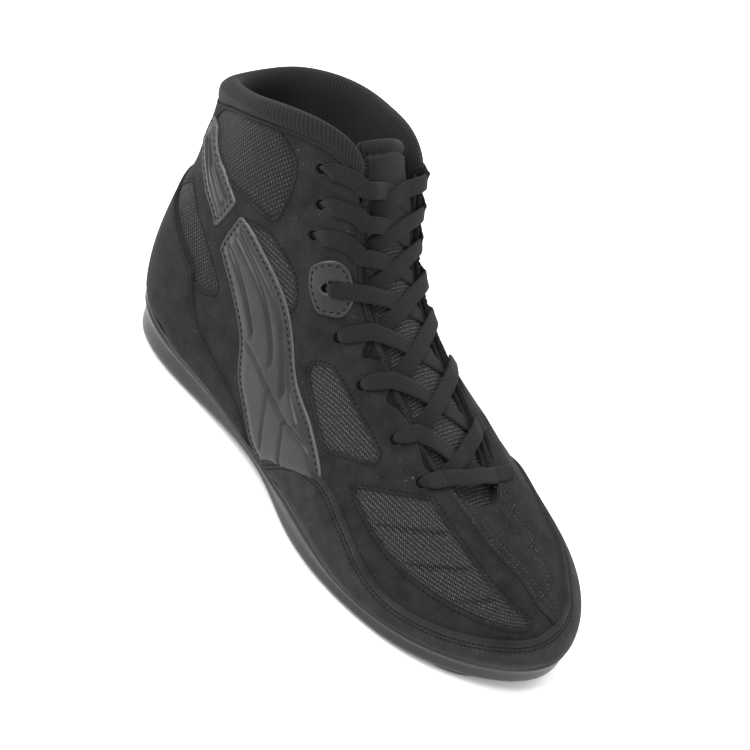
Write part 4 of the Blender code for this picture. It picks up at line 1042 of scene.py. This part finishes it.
def smoothRows(points, samples, closed=False):  # cubic through a list of points, whole rows at once
    points = np.asarray(points, float)
    after, before = np.roll(points, -1, axis=0), np.roll(points, 1, axis=0)
    slope = 0.5 * (after - before)
    if not closed:
        slope[0], slope[-1] = points[1] - points[0], points[-1] - points[-2]
    count = len(points) if closed else len(points) - 1
    t = (np.arange(samples) / samples).reshape((1, samples) + (1,) * (points.ndim - 1))
    p0, p1 = points[:count][:, None], np.roll(points, -1, axis=0)[:count][:, None]
    m0, m1 = slope[:count][:, None], np.roll(slope, -1, axis=0)[:count][:, None]
    curve = (2 * t ** 3 - 3 * t ** 2 + 1) * p0 + (t ** 3 - 2 * t ** 2 + t) * m0
    curve = curve + (-2 * t ** 3 + 3 * t ** 2) * p1 + (t ** 3 - t ** 2) * m1
    curve = curve.reshape((count * samples,) + points.shape[1:])
    return curve if closed else np.concatenate([curve, points[-1:]])


def runLength(points):  # metres along rows of points
    step = np.linalg.norm(np.diff(points, axis=0), axis=-1)
    return np.concatenate([np.zeros((1,) + step.shape[1:]), np.cumsum(step, axis=0)])


def tubeGrid(name, middle, side, halfWidth, halfThickness, power=1.0, sides=14, cloth=None):
    # a profile carried along a path: across = halfWidth cos^power, out = halfThickness sin^power, closed at the ends
    along = unitRows(np.gradient(middle, axis=0))
    side = unitRows(side - along * np.sum(side * along, axis=1)[:, None])
    out = np.cross(along, side)
    angle = np.arange(sides) * 2.0 * math.pi / sides
    across = np.sign(np.cos(angle)) * np.abs(np.cos(angle)) ** power
    above = np.sign(np.sin(angle)) * np.abs(np.sin(angle)) ** power
    grid = middle[:, None] + side[:, None] * (np.atleast_1d(halfWidth)[:, None] * across[None])[..., None]
    grid = grid + out[:, None] * (np.atleast_1d(halfThickness)[:, None] * above[None])[..., None]
    rows = len(grid)
    faces = [f[::-1] for f in gridFaces(rows, sides, closeColumns=True)]
    faces += [tuple(range(sides)), tuple(range((rows - 1) * sides, rows * sides))[::-1]]
    run = np.broadcast_to(runLength(middle)[:, None], (rows, sides))
    width = np.broadcast_to(across[None], (rows, sides)) * np.atleast_1d(halfWidth)[:, None]
    return newObject(name, grid.reshape(-1, 3), faces, np.stack([run, width], axis=-1))


def outward(made):  # faces of a closed mesh turned out
    shape = bmesh.new()
    shape.from_mesh(made.data)
    bmesh.ops.recalc_face_normals(shape, faces=shape.faces)
    shape.to_mesh(made.data)
    shape.free()
    return made


# Collar: knit over foam, a roll round the ankle whose lining reaches down inside the wall
collarPiece = {"end": 4.12, "columns": 240, "pad": 9.5 * mm, "taper": 0.5, "bulge": 1.8 * mm, "lining": 38.0 * mm,
               "liningEdge": 2.0 * mm, "samples": 6}


def makeCollar(settings):
    station = np.linspace(-settings["end"], settings["end"], settings["columns"])
    inside = last["wall"] + 0.5 * mm
    pad = settings["pad"] * (1.0 - settings["taper"] * smoothStep(np.abs(station), 2.8, 4.0))
    band, bulge, lining = collarDrop(station), settings["bulge"], settings["lining"]
    flat = np.ones_like(station)
    section = (  # distance below the topline, distance out of the last
        (band + 1.2 * mm, -0.6 * mm * flat), (0.93 * band, 1.1 * mm * flat), (0.55 * band, bulge * flat),
        (0.15 * band, 0.62 * bulge * flat), (-bulge * flat, -0.30 * pad), (-0.3 * mm * flat, -0.78 * pad),
        (6.0 * mm * flat, -pad), (0.45 * lining * flat, -0.92 * pad),
        (0.80 * lining * flat, -0.55 * pad - inside * 0.4),
        (0.97 * lining * flat, -inside - settings["liningEdge"] * 0.8), (lining * flat, -inside * flat),
        (0.75 * lining * flat, -inside * flat), (0.50 * lining * flat, -inside * flat),
        (band + 1.2 * mm, -inside * flat),
    )
    _, normal, _, upward = lastFrame(station, 1.0)
    upward = unitRows(upward)
    rows = [skin(station, heightBelowRim(station, np.maximum(below, 0.0)), out)
            + upward * np.maximum(-below, 0.0)[:, None] for below, out in section]
    grid = smoothRows(np.stack(rows), settings["samples"], closed=True)
    middle = grid.mean(0, keepdims=True)
    nearEnd = np.clip((np.abs(station) - settings["end"] + 0.16) / 0.16, 0.0, 1.0)
    grid = middle + (grid - middle) * np.sqrt(1.0 - 0.97 * nearEnd ** 2)[None, :, None]
    run = runLength(grid)
    uv = np.stack([np.broadcast_to((station * 0.026)[None, :], run.shape), run], axis=-1)
    rows, columns = run.shape
    faces = gridFaces(rows, columns, closeRows=True)
    faces += [tuple(np.arange(rows) * columns), tuple((np.arange(rows) * columns + columns - 1)[::-1])]
    faces = [tuple(int(i) for i in f) for f in faces]
    return outward(newObject("collar_roll", grid.reshape(-1, 3), faces, uv))


collar = finishPiece(makeCollar(collarPiece), finishes["knit"], ["collar"])
print("collar made")

# Tongue: mesh over thin foam, quilted by cross seams, with a suede facing and a knit edge on its top
tonguePiece = {"toe": 9.45, "top": 3.75, "edge": 0.72, "depth": 3.2 * mm, "thickness": 3.4 * mm, "crown": 4.0 * mm,
               "sink": 5.5 * mm, "tuck": 12.0 * mm, "rows": 150, "columns": 40,
               "seams": [0.30, 0.42, 0.545, 0.66, 0.80], "seamDepth": 0.9 * mm, "puff": 0.1683 * mm}


def throatPoint(station, across, depth, tuck, crown):
    # straight mix of the two throat edges, lateral at -1 and medial at 1, with a parabola of crown over the middle
    station, across, depth, tuck, crown = np.broadcast_arrays(station, across, depth, tuck, crown)
    sides = [skin(side, heightBelowRim(side, tuck), -depth) for side in (station, last["stations"] - station)]
    blend = np.clip(0.5 + 0.5 * across, 0.0, 1.0)
    middle = sides[0] * (1.0 - blend[..., None]) + sides[1] * blend[..., None]
    bulge = 4.0 * blend * (1.0 - blend) * crown
    return middle + np.stack([bulge, np.zeros_like(bulge), bulge], axis=-1)


def tongueCrown(along):
    return tonguePiece["crown"] * smoothStep(along, 0.12, 0.45)


def tonguePoint(along, across, depth):
    station = tonguePiece["toe"] + (tonguePiece["top"] - tonguePiece["toe"]) * along
    sideTuck = np.clip((np.abs(across) - tonguePiece["edge"]) / (1.0 - tonguePiece["edge"]), 0.0, 1.0)
    toeTuck = 1.0 - smoothStep(along, 0.0, 0.14)
    depth = depth + tonguePiece["sink"] * (1.0 - smoothStep(station, 4.0, 4.7))
    return throatPoint(station, across / tonguePiece["edge"], depth,
                       tonguePiece["tuck"] * np.maximum(sideTuck, toeTuck), tongueCrown(along))


def makeTongue(settings):  # pillow: half thickness falls to nothing along all four edges
    along = 0.5 - 0.5 * np.cos(np.linspace(0.0, math.pi, settings["rows"]))[:, None]
    across = np.sin(np.linspace(-0.5, 0.5, settings["columns"]) * math.pi)[None, :]
    along, across = np.broadcast_arrays(0.3 * along + 0.7 * np.linspace(0, 1, settings["rows"])[:, None], across)
    half = 0.5 * settings["thickness"] * np.sqrt(np.clip(1.0 - across ** 10, 0.0, 1.0))
    half = half * np.sqrt(np.clip(1.0 - (2.0 * along - 1.0) ** 40, 0.0, 1.0))
    quilt = np.zeros_like(along)
    for seam in settings["seams"]:
        quilt = quilt + settings["seamDepth"] * np.exp(-((along - seam - 0.012 * (1 - across ** 2)) / 0.008) ** 2)
    middle = settings["depth"] + settings["thickness"] / 2
    outside = tonguePoint(along, across, middle - half - settings["puff"] + quilt)
    inside = tonguePoint(along, across, middle + half)
    grid = np.concatenate([outside, inside[:, ::-1][:, 1:-1]], axis=1)
    rows, columns = grid.shape[:2]
    run = runLength(grid)
    span = runLength(np.swapaxes(grid, 0, 1)).T
    faces = gridFaces(rows, columns, closeColumns=True)
    faces += [tuple(range(columns))[::-1], tuple(range((rows - 1) * columns, rows * columns))]
    return outward(newObject("tongue_padded", grid.reshape(-1, 3), faces, np.stack([span, run], axis=-1)))


tongue = finishPiece(makeTongue(tonguePiece), finishes["wovenMesh"], ["tongue"])


def makeFacing(name, low, high, width, lift, thickness, rows=60, columns=70):
    # sheet over the tongue's top with round corners: its rise is a quarter circle near the edge
    along, across = np.meshgrid(np.linspace(low, high, rows), np.linspace(-width, width, columns), indexing="ij")
    grid = tonguePoint(along, across, tonguePiece["depth"] - lift)
    u = np.minimum(runLength(grid), runLength(grid[::-1])[::-1])
    crossRun = runLength(np.swapaxes(grid, 0, 1)).T
    w = np.minimum(crossRun, crossRun[:, -1:] - crossRun)
    away = np.minimum(u, w)
    rise = thickness * np.sqrt(1.0 - (1.0 - np.clip(away / (0.7 * mm), 0.0, 1.0)) ** 2)
    rise = rise - 0.28 * mm * np.exp(-((away - 2.2 * mm) / (0.5 * mm)) ** 2)
    top = tonguePoint(along, across, tonguePiece["depth"] - lift - rise)
    points = np.concatenate([top.reshape(-1, 3), grid.reshape(-1, 3)])
    count = rows * columns
    faces = gridFaces(rows, columns) + [f[::-1] for f in gridFaces(rows, columns, start=count)]
    made = newObject(name, points, faces, np.concatenate([np.stack([crossRun, u], axis=-1).reshape(-1, 2)] * 2))
    shape = bmesh.new()
    shape.from_mesh(made.data)
    bmesh.ops.remove_doubles(shape, verts=shape.verts, dist=1e-6)
    shape.to_mesh(made.data)
    shape.free()
    return outward(made)


finishPiece(makeFacing("tongue_facing", 0.835, 0.975, 0.66, 0.25 * mm, 1.1 * mm), finishes["suede"],
            ["tongue_patch"])
edgeAcross = np.linspace(-0.92, 0.92, 60)
edgeMiddle = tonguePoint(np.full(60, 0.992), edgeAcross, tonguePiece["depth"] + 0.4 * tonguePiece["thickness"])
edgeSide = tonguePoint(np.full(60, 0.97), edgeAcross, tonguePiece["depth"]) - edgeMiddle
edgeRound = np.sqrt(np.clip(1.0 - (edgeAcross / 0.925) ** 14, 0.0, 1.0))
tongueEdge = outward(tubeGrid("tongue_edge", edgeMiddle, edgeSide, 3.0 * mm * edgeRound, 2.5 * mm * edgeRound, 0.9, 18))
finishPiece(tongueEdge, finishes["knit"])
print("tongue made")

# Piping: two corded tubes side by side under the suede's scalloped edge
pipingPiece = {"radius": 1.35 * mm, "ends": 4.12, "inner": 2.1 * mm, "sink": 1.5 * mm}


def makePiping(settings):
    station = np.linspace(settings["ends"], last["stations"] - settings["ends"], 260)
    station = station[(station < 8.6) | (station > 11.4)]
    tubes = []
    for number, (inset, depth) in enumerate(((0.3 * mm, 0.1 * mm), (-settings["inner"], settings["sink"]))):
        for medial in (False, True):
            own = station[station > 10.0] if medial else station[station < 10.0]
            lateralStation = last["stations"] - own if medial else own
            half = 0.5 * np.linalg.norm(throatPoint(lateralStation, 1.0, 0.0, 0.0, 0.0)
                                        - throatPoint(lateralStation, -1.0, 0.0, 0.0, 0.0), axis=-1)
            across = (-1.0 + np.maximum(-inset, 0.0) / half) * (-1.0 if medial else 1.0)
            middle = throatPoint(lateralStation, across, depth, max(inset, 0.0), 0.0)
            beside = throatPoint(lateralStation, across, depth + 1.0 * mm, max(inset, 0.0), 0.0)
            size = settings["radius"] * np.sqrt(np.clip(1.0 - np.linspace(-1, 1, len(own)) ** 30, 0.02, 1.0))
            tubes.append(tubeGrid(f"tube_{number}_{medial}", middle, beside - middle, size, size))
    return outward(joined("throat_piping", tubes))


finishPiece(makePiping(pipingPiece), finishes["lace"])
print("piping made")

# Laces: flat braid from eyelet to eyelet, each run in over its edge and under the edge of the next row
lacePiece = {"width": 7.4 * mm, "thickness": 1.5 * mm, "edges": [8.00, 7.30, 6.60, 5.98, 5.42, 4.95, 4.58, 4.20],
             "drop": 0.80, "reach": 0.60, "overSuede": 2.15 * mm, "overTab": 3.1 * mm, "samples": 7}


def laceRun(row, medial):
    # middle line and a line beside it: up from the hole, over the panel, across the tongue, in under the far edge
    slide = medialSlide[row] if medial else 0.0
    station, height = eyelets[row][0] + slide, eyelets[row][1]
    edge = lacePiece["edges"][row] + slide
    over = lacePiece["overTab"] if row == 4 else lacePiece["overSuede"]
    lines = []
    for shiftAlong in (0.0, 0.05):
        share = np.array([0.0, 0.15, 0.32, 0.56, 0.80])
        lift = np.array([-1.0 * mm, over + 0.1 * mm, over + 0.15 * mm, over, over])
        wallStation = station + shiftAlong + (edge - station) * share
        if medial:
            wallStation = last["stations"] - wallStation
        wall = skin(wallStation, height + (1.0 - height) * share, lift)
        across = np.linspace(-1.0, 1.02, 11)
        if row == 0:
            across = np.linspace(-1.0, 0.0, 6)
            level = (0.5 * medialSlide[0] - slide) * smoothStep(across, -1.0, 0.0)  # both halves meet in the middle
            crossing = edge + shiftAlong + level
            sink = np.full(len(across), -over)
            crown = 1.2 * mm
        else:
            target = lacePiece["edges"][row - 1] + (0.0 if medial else medialSlide[row - 1])
            step = lacePiece["drop"] * (target - edge)
            crossing = edge + shiftAlong + step * (across + 1.0) / (lacePiece["reach"] + 1.0)
            low = tonguePiece["depth"] - 0.55 * lacePiece["thickness"]
            high = low - 1.1 * lacePiece["thickness"] if medial else low
            sink = -over + (high + over) * smoothStep(across, -0.95, -0.1) + (low - high) * smoothStep(
                across, 0.30, 0.85) + 1.8 * mm * smoothStep(across, 0.75, 1.0)
            crown = tongueCrown((tonguePiece["toe"] - crossing) / (tonguePiece["toe"] - tonguePiece["top"]))
            deeper = tonguePiece["sink"] * (1.0 - smoothStep(crossing, 4.0, 4.7))
            sink = sink + deeper * smoothStep(across, -0.9, -0.3)
        middle = throatPoint(crossing, -across if medial else across, sink, 0.0, crown)
        lines.append(np.concatenate([wall, middle]))
    return lines


def laceStrip(name, lines, closedEnd=False):
    middle, beside = (smoothRows(line, lacePiece["samples"]) for line in lines)
    run = runLength(middle)
    narrow = 0.50 + 0.50 * smoothStep(run, 0.5 * mm, 8.0 * mm)
    if closedEnd:
        narrow = np.minimum(narrow, narrow[::-1])
    half = 0.5 * lacePiece["width"] * narrow
    thick = 0.5 * lacePiece["thickness"] * (1.0 + 0.7 * (1.0 - narrow))
    return outward(tubeGrid(name, middle, beside - middle, half, thick, 0.55, 16))


barHalves = [laceRun(0, False), laceRun(0, True)]
barLines = [np.concatenate([first, second[::-1][1:]]) for first, second in zip(*barHalves)]
laceBar = laceStrip("lace_bar_woven", barLines, closedEnd=True)
finishPiece(laceBar, finishes["lace"], ["lace_bar"])
for row in range(1, len(eyelets)):
    runs = [laceStrip(f"run_{row}_{medial}", laceRun(row, medial)) for medial in (False, True)]
    crossing = joined(f"lace_crossing_{row}_woven", runs)
    finishPiece(crossing, finishes["lace"], [f"lace_crossing_{row}"])
print("laces made")

# Punched eyelets: near-black discs under the holes, painted shade seen through them
wellPoints, wellFaces = [], []
for mirror in (False, True):
    for row in range(len(eyelets)):
        ring = circleOn(*eyeletAt(row, mirror), eyeletRadius + 0.5 * mm, 20)
        base = 0.25 * mm
        place = np.vstack([skin(ring[:, 0], ring[:, 1], np.full(20, base)), skin(ring[:, 0], ring[:, 1], np.full(
            20, base - 0.6 * mm))])
        start = len(wellPoints) * 40
        wellPoints.append(place)
        wellFaces += gridFaces(2, 20, closeColumns=True, start=start)
        wellFaces += [list(range(start, start + 20)), list(range(start + 20, start + 40))[::-1]]
holeShade = outward(newObject("eyelet_hole_shade", np.concatenate(wellPoints), wellFaces))
finishPiece(holeShade, finishes["hole"])

# Insole: a thin sock liner whose edge turns up against the wall
insolePiece = {"columns": 240}


def solePlan(station):  # feather edge and the level direction out of it
    foot, normal, _, _ = lastFrame(station, 0.0)
    return foot, unitRows(normal * np.array([1.0, 1.0, 0.0]))


def zipFaces(ring, count, downward):  # faces across a ring: each lateral point with the medial one opposite
    faces = []
    for place in range(count // 2):
        corners = [ring + place, ring + place + 1, ring + (count - place - 1) % count, ring + (count - place) % count]
        corners = list(dict.fromkeys(corners))
        faces.append(tuple(corners[::-1] if downward else corners))
    return faces


def makeInsole(settings):
    station = np.arange(settings["columns"]) * last["stations"] / settings["columns"]
    foot, level = solePlan(station)
    rings = []
    for inset, rise in ((12.0, 0.3), (4.4, 0.3), (3.7, 1.0), (3.3, 2.6), (3.6, 3.6), (4.6, 3.7), (6.5, 3.1),
                        (12.0, 3.0)):
        ring = foot - level * inset * mm
        ring[:, 2] = footbed(ring[:, 0], ring[:, 1]) + rise * mm
        rings.append(ring + shift)
    points = np.concatenate(rings)
    count = settings["columns"]
    faces = gridFaces(len(rings), count, closeColumns=True) + zipFaces(0, count, True)
    faces += zipFaces((len(rings) - 1) * count, count, False)
    return outward(newObject("sock_liner", points, faces, points[:, :2]))


insole = finishPiece(makeInsole(insolePiece), finishes["lining"], ["insole"])

# Outsole: thin moulded rubber with a flange that climbs the side, ringed pods and a diamond tread between them. A pod
# is its middle and half axes as shares of last length and ball width, and its turn in degrees
solePiece = {"columns": 320, "lip": 1.2 * mm, "thickness": 2.0 * mm, "bead": 0.45 * mm,
             "podSides": 96, "podRings": 8, "podGroove": 0.8 * mm}
pods = [(0.880, -0.165, 0.080, 0.185, 25.0), (0.915, 0.205, 0.074, 0.165, -28.0), (0.700, -0.270, 0.102, 0.232, 6.0),
        (0.750, 0.245, 0.104, 0.240, -8.0), (0.128, 0.000, 0.118, 0.290, 0.0)]


def makeSoleBody(settings):
    station = np.arange(settings["columns"]) * last["stations"] / settings["columns"]
    foot, level = solePlan(station)
    reach = flangeSize(station, 2)
    top = heightAtRise(station, flangeSize(station, 1))
    gap, lip, thick, bead = last["gap"], settings["lip"], settings["thickness"], settings["bead"]
    tall = smoothStep(flangeSize(station, 1), 2.0 * mm, 5.0 * mm)

    def onWall(share, out):
        point, normal, _, _ = lastFrame(station, share * top)
        return point + normal * (out * np.ones_like(station))[:, None]

    def under(inset, depthShare):
        point = foot + level * (reach - inset if depthShare else -inset * np.ones(len(foot)))[:, None]
        upperFace, lowerFace = footbed(point[:, 0], point[:, 1]), underside(point[:, 0])
        point[:, 2] = upperFace + (lowerFace - upperFace) * depthShare
        return point

    edgeTop = foot + level * reach[:, None] - np.array([0.0, 0.0, gap])
    depth = edgeTop[:, 2] - underside(edgeTop[:, 0])
    rings = [under(12.0 * mm, 0.0), foot + level * gap - np.array([0.0, 0.0, gap]), onWall(0.5, gap), onWall(1.0, gap),
             onWall(1.03, 0.6 * lip), onWall(1.02, 0.95 * lip + gap), onWall(0.96, lip + gap + 0.2 * mm),
             onWall(0.88, lip + gap + bead * tall), onWall(0.80, lip + gap + 0.1 * mm),
             onWall(0.76, lip + gap - 0.25 * mm * tall), onWall(0.70, lip + gap + 0.15 * mm),
             onWall(0.62, thick + gap + 0.6 * bead * tall), onWall(0.50, thick + gap), onWall(0.38, thick + gap)]
    for share in (0.35, 0.7, 0.9):
        rings.append(rings[13] * (1.0 - share) + edgeTop * share)
    for inset, share in ((0.0, 0.12), (0.0, 0.40), (0.0, 0.72), (0.3, 0.90), (1.2, 1.0)):
        ring = edgeTop - level * (inset * mm)
        ring[:, 2] = edgeTop[:, 2] - depth * share
        rings.append(ring)
    for inset in (2.6, 5.0, 9.0, 14.0):
        rings.append(under(inset * mm, 1.0))
    count = settings["columns"]
    faces = gridFaces(len(rings), count, closeColumns=True) + zipFaces(0, count, True)
    faces += zipFaces((len(rings) - 1) * count, count, False)
    return outward(newObject("sole_body", np.concatenate(rings) + shift, faces))


def makePod(number, row, settings):  # turned profile: rings of half circles between a boss and a smooth rim
    x, y, halfLength, halfWidth, turn = row
    share = np.linspace(0.0, 0.80, settings["podRings"] * 8 + 1)
    ripple = 0.5 - 0.5 * np.cos(share / 0.80 * settings["podRings"] * 2.0 * math.pi)
    groove = settings["podGroove"] * ripple * smoothStep(share, 0.05, 0.12)
    profile = [(s, g) for s, g in zip(share[1:], groove[1:])] + [(0.83, 0.0), (0.90, 0.0), (0.955, 0.05 * mm),
                                                               (0.985, 0.35 * mm), (1.0, 0.9 * mm), (1.0, 2.6 * mm)]
    profile = np.array(profile)
    angle = np.arange(settings["podSides"]) * 2.0 * math.pi / settings["podSides"]
    along = profile[:, 0][:, None] * np.cos(angle)[None] * halfLength * last["length"]
    across = profile[:, 0][:, None] * np.sin(angle)[None] * halfWidth * last["ballWidth"]
    c, s = math.cos(math.radians(turn)), math.sin(math.radians(turn))
    px = last["heelSetback"] + x * last["length"] + along * c - across * s
    py = y * last["ballWidth"] + along * s + across * c
    spring = last["toeSpring"] * np.clip(((px - last["heelSetback"]) / last["length"] - 0.78) / 0.22, 0.0, 1.2) ** 2
    pz = profile[:, 1][:, None] + spring
    rows, columns = px.shape
    faces = gridFaces(rows, columns, closeColumns=True)
    faces += [tuple(range(columns)), tuple(range((rows - 1) * columns, rows * columns))[::-1]]
    return outward(newObject(f"pod_{number}", np.stack([px, py, pz], axis=-1).reshape(-1, 3) + shift, faces))


def makeTread():  # raised diamonds: the higher of two slanted triangle waves over the flat of the underside
    step = 1.1 * mm
    x = np.arange(-4.0 * mm, 286.0 * mm, step)
    y = np.arange(-52.0 * mm, 52.0 * mm, step)
    gridX, gridY = np.meshgrid(x, y, indexing="ij")
    station = np.arange(400) * last["stations"] / 400
    foot, level = solePlan(station)
    edge = (foot + level * (flangeSize(station, 2) - 3.0 * mm)[:, None])[:, :2]
    flat = np.stack([gridX.ravel(), gridY.ravel()], axis=1)
    inside = insideLine(flat, edge)
    away = np.where(inside, nearestDistance(flat, edge), 0.0).reshape(gridX.shape)
    slope, pace = 0.60, 9.5 * mm
    lines = [np.abs(np.mod((gridX + sign * slope * gridY) / pace, 1.0) * 2.0 - 1.0) for sign in (-1.0, 1.0)]
    ridge = smoothStep(np.maximum(*lines), 0.62, 0.84)
    level = underside(gridX) + 0.35 * mm - 1.45 * mm * ridge * smoothStep(away, 0.2 * mm, 1.8 * mm)
    faces = np.array(gridFaces(len(x), len(y)))
    kept = faces[inside.reshape(-1)[faces].all(1)]
    used, compact = np.unique(kept, return_inverse=True)
    points = np.stack([gridX, gridY, level], axis=-1).reshape(-1, 3)[used] + shift
    return newObject("tread", points, compact.reshape(kept.shape)[:, ::-1].tolist())


soleParts = [makeSoleBody(solePiece)] + [makePod(n, row, solePiece) for n, row in enumerate(pods)] + [makeTread()]
outsole = joined("outsole_moulded", soleParts)
finishPiece(outsole, finishes["rubber"], ["outsole"])
print("outsole made")


# Studio: pale floor, soft lights, and the camera at the photograph's angle to the shoe
def makeFloor():
    material, surface = newMaterial("paintedBoard")  # matt white board, hardly any grain
    place = objectPlace(material)
    tone = addRamp(material, noise(material, place, 0.4, 2.0), [(0.3, "#f9f9f9"), (0.7, "#fbfbfb")])
    link(material, surface, "Base Color", tone)
    setValues(surface, {"Roughness": 0.9, "Specular IOR Level": 0.2})
    size = 60.0
    floor = newObject("floor", [(-size, -size, 0), (size, -size, 0), (size, size, 0), (-size, size, 0)],
                      [(0, 1, 2, 3)], smooth=False)
    floor.data.materials.append(material)


def areaLight(name, place, target, size, power):
    light = bpy.data.lights.new(name, "AREA")
    light.energy, light.size = power, size
    lamp = bpy.data.objects.new(name, light)
    bpy.context.scene.collection.objects.link(lamp)
    lamp.location = place
    lamp.rotation_euler = (Vector(target) - Vector(place)).to_track_quat("-Z", "Y").to_euler()


studio = {"world": 0.97, "keyPower": 22.0, "fillPower": 5.0, "backPower": 10.0}
makeFloor()
world = bpy.data.worlds.new("studio")
world.use_nodes = True
world.node_tree.nodes["Background"].inputs["Color"].default_value = (1.0, 1.0, 1.0, 1.0)
world.node_tree.nodes["Background"].inputs["Strength"].default_value = studio["world"]
bpy.context.scene.world = world
areaLight("key", (-0.35, -0.75, 1.15), (0.0, 0.0, 0.05), 0.9, studio["keyPower"])
areaLight("fill", (1.1, -0.35, 0.75), (0.0, 0.0, 0.05), 1.0, studio["fillPower"])
areaLight("back", (0.1, 1.0, 1.1), (0.0, 0.0, 0.08), 1.0, studio["backPower"])
bpy.context.scene.view_settings.view_transform = "Standard"
bpy.context.scene.view_settings.look = "None"

cameraPiece = {"place": (0.2903, -0.4163, 0.4151), "ahead": (-0.5366, 0.5866, -0.6067),
               "right": (0.5646, 0.7838, 0.2585), "up": (-0.6271, 0.2039, 0.7518), "focal": 1268.7,
               "centre": (527.0, 372.0), "frame": 750.0, "zoom": 1.09}


def makeCamera(settings):  # the photograph's eye, turned on to the middle of the one shoe
    ahead, right, up = (Vector(settings[key]) for key in ("ahead", "right", "up"))
    half = settings["frame"] / 2.0
    ray = ahead * settings["focal"] + right * (settings["centre"][0] - half) + up * (half - settings["centre"][1])
    forward = ray.normalized()
    side = forward.cross(up).normalized()
    over = side.cross(forward).normalized()
    camera = bpy.data.cameras.new("camera")
    camera.sensor_width = 36.0
    camera.lens = settings["focal"] * settings["zoom"] / settings["frame"] * 36.0
    camera.clip_start = 0.01
    made = bpy.data.objects.new("camera", camera)
    bpy.context.scene.collection.objects.link(made)
    turn = Matrix((side, over, -forward)).transposed().to_4x4()
    made.matrix_world = Matrix.Translation(settings["place"]) @ turn
    bpy.context.scene.camera = made


makeCamera(cameraPiece)
print("studio made")
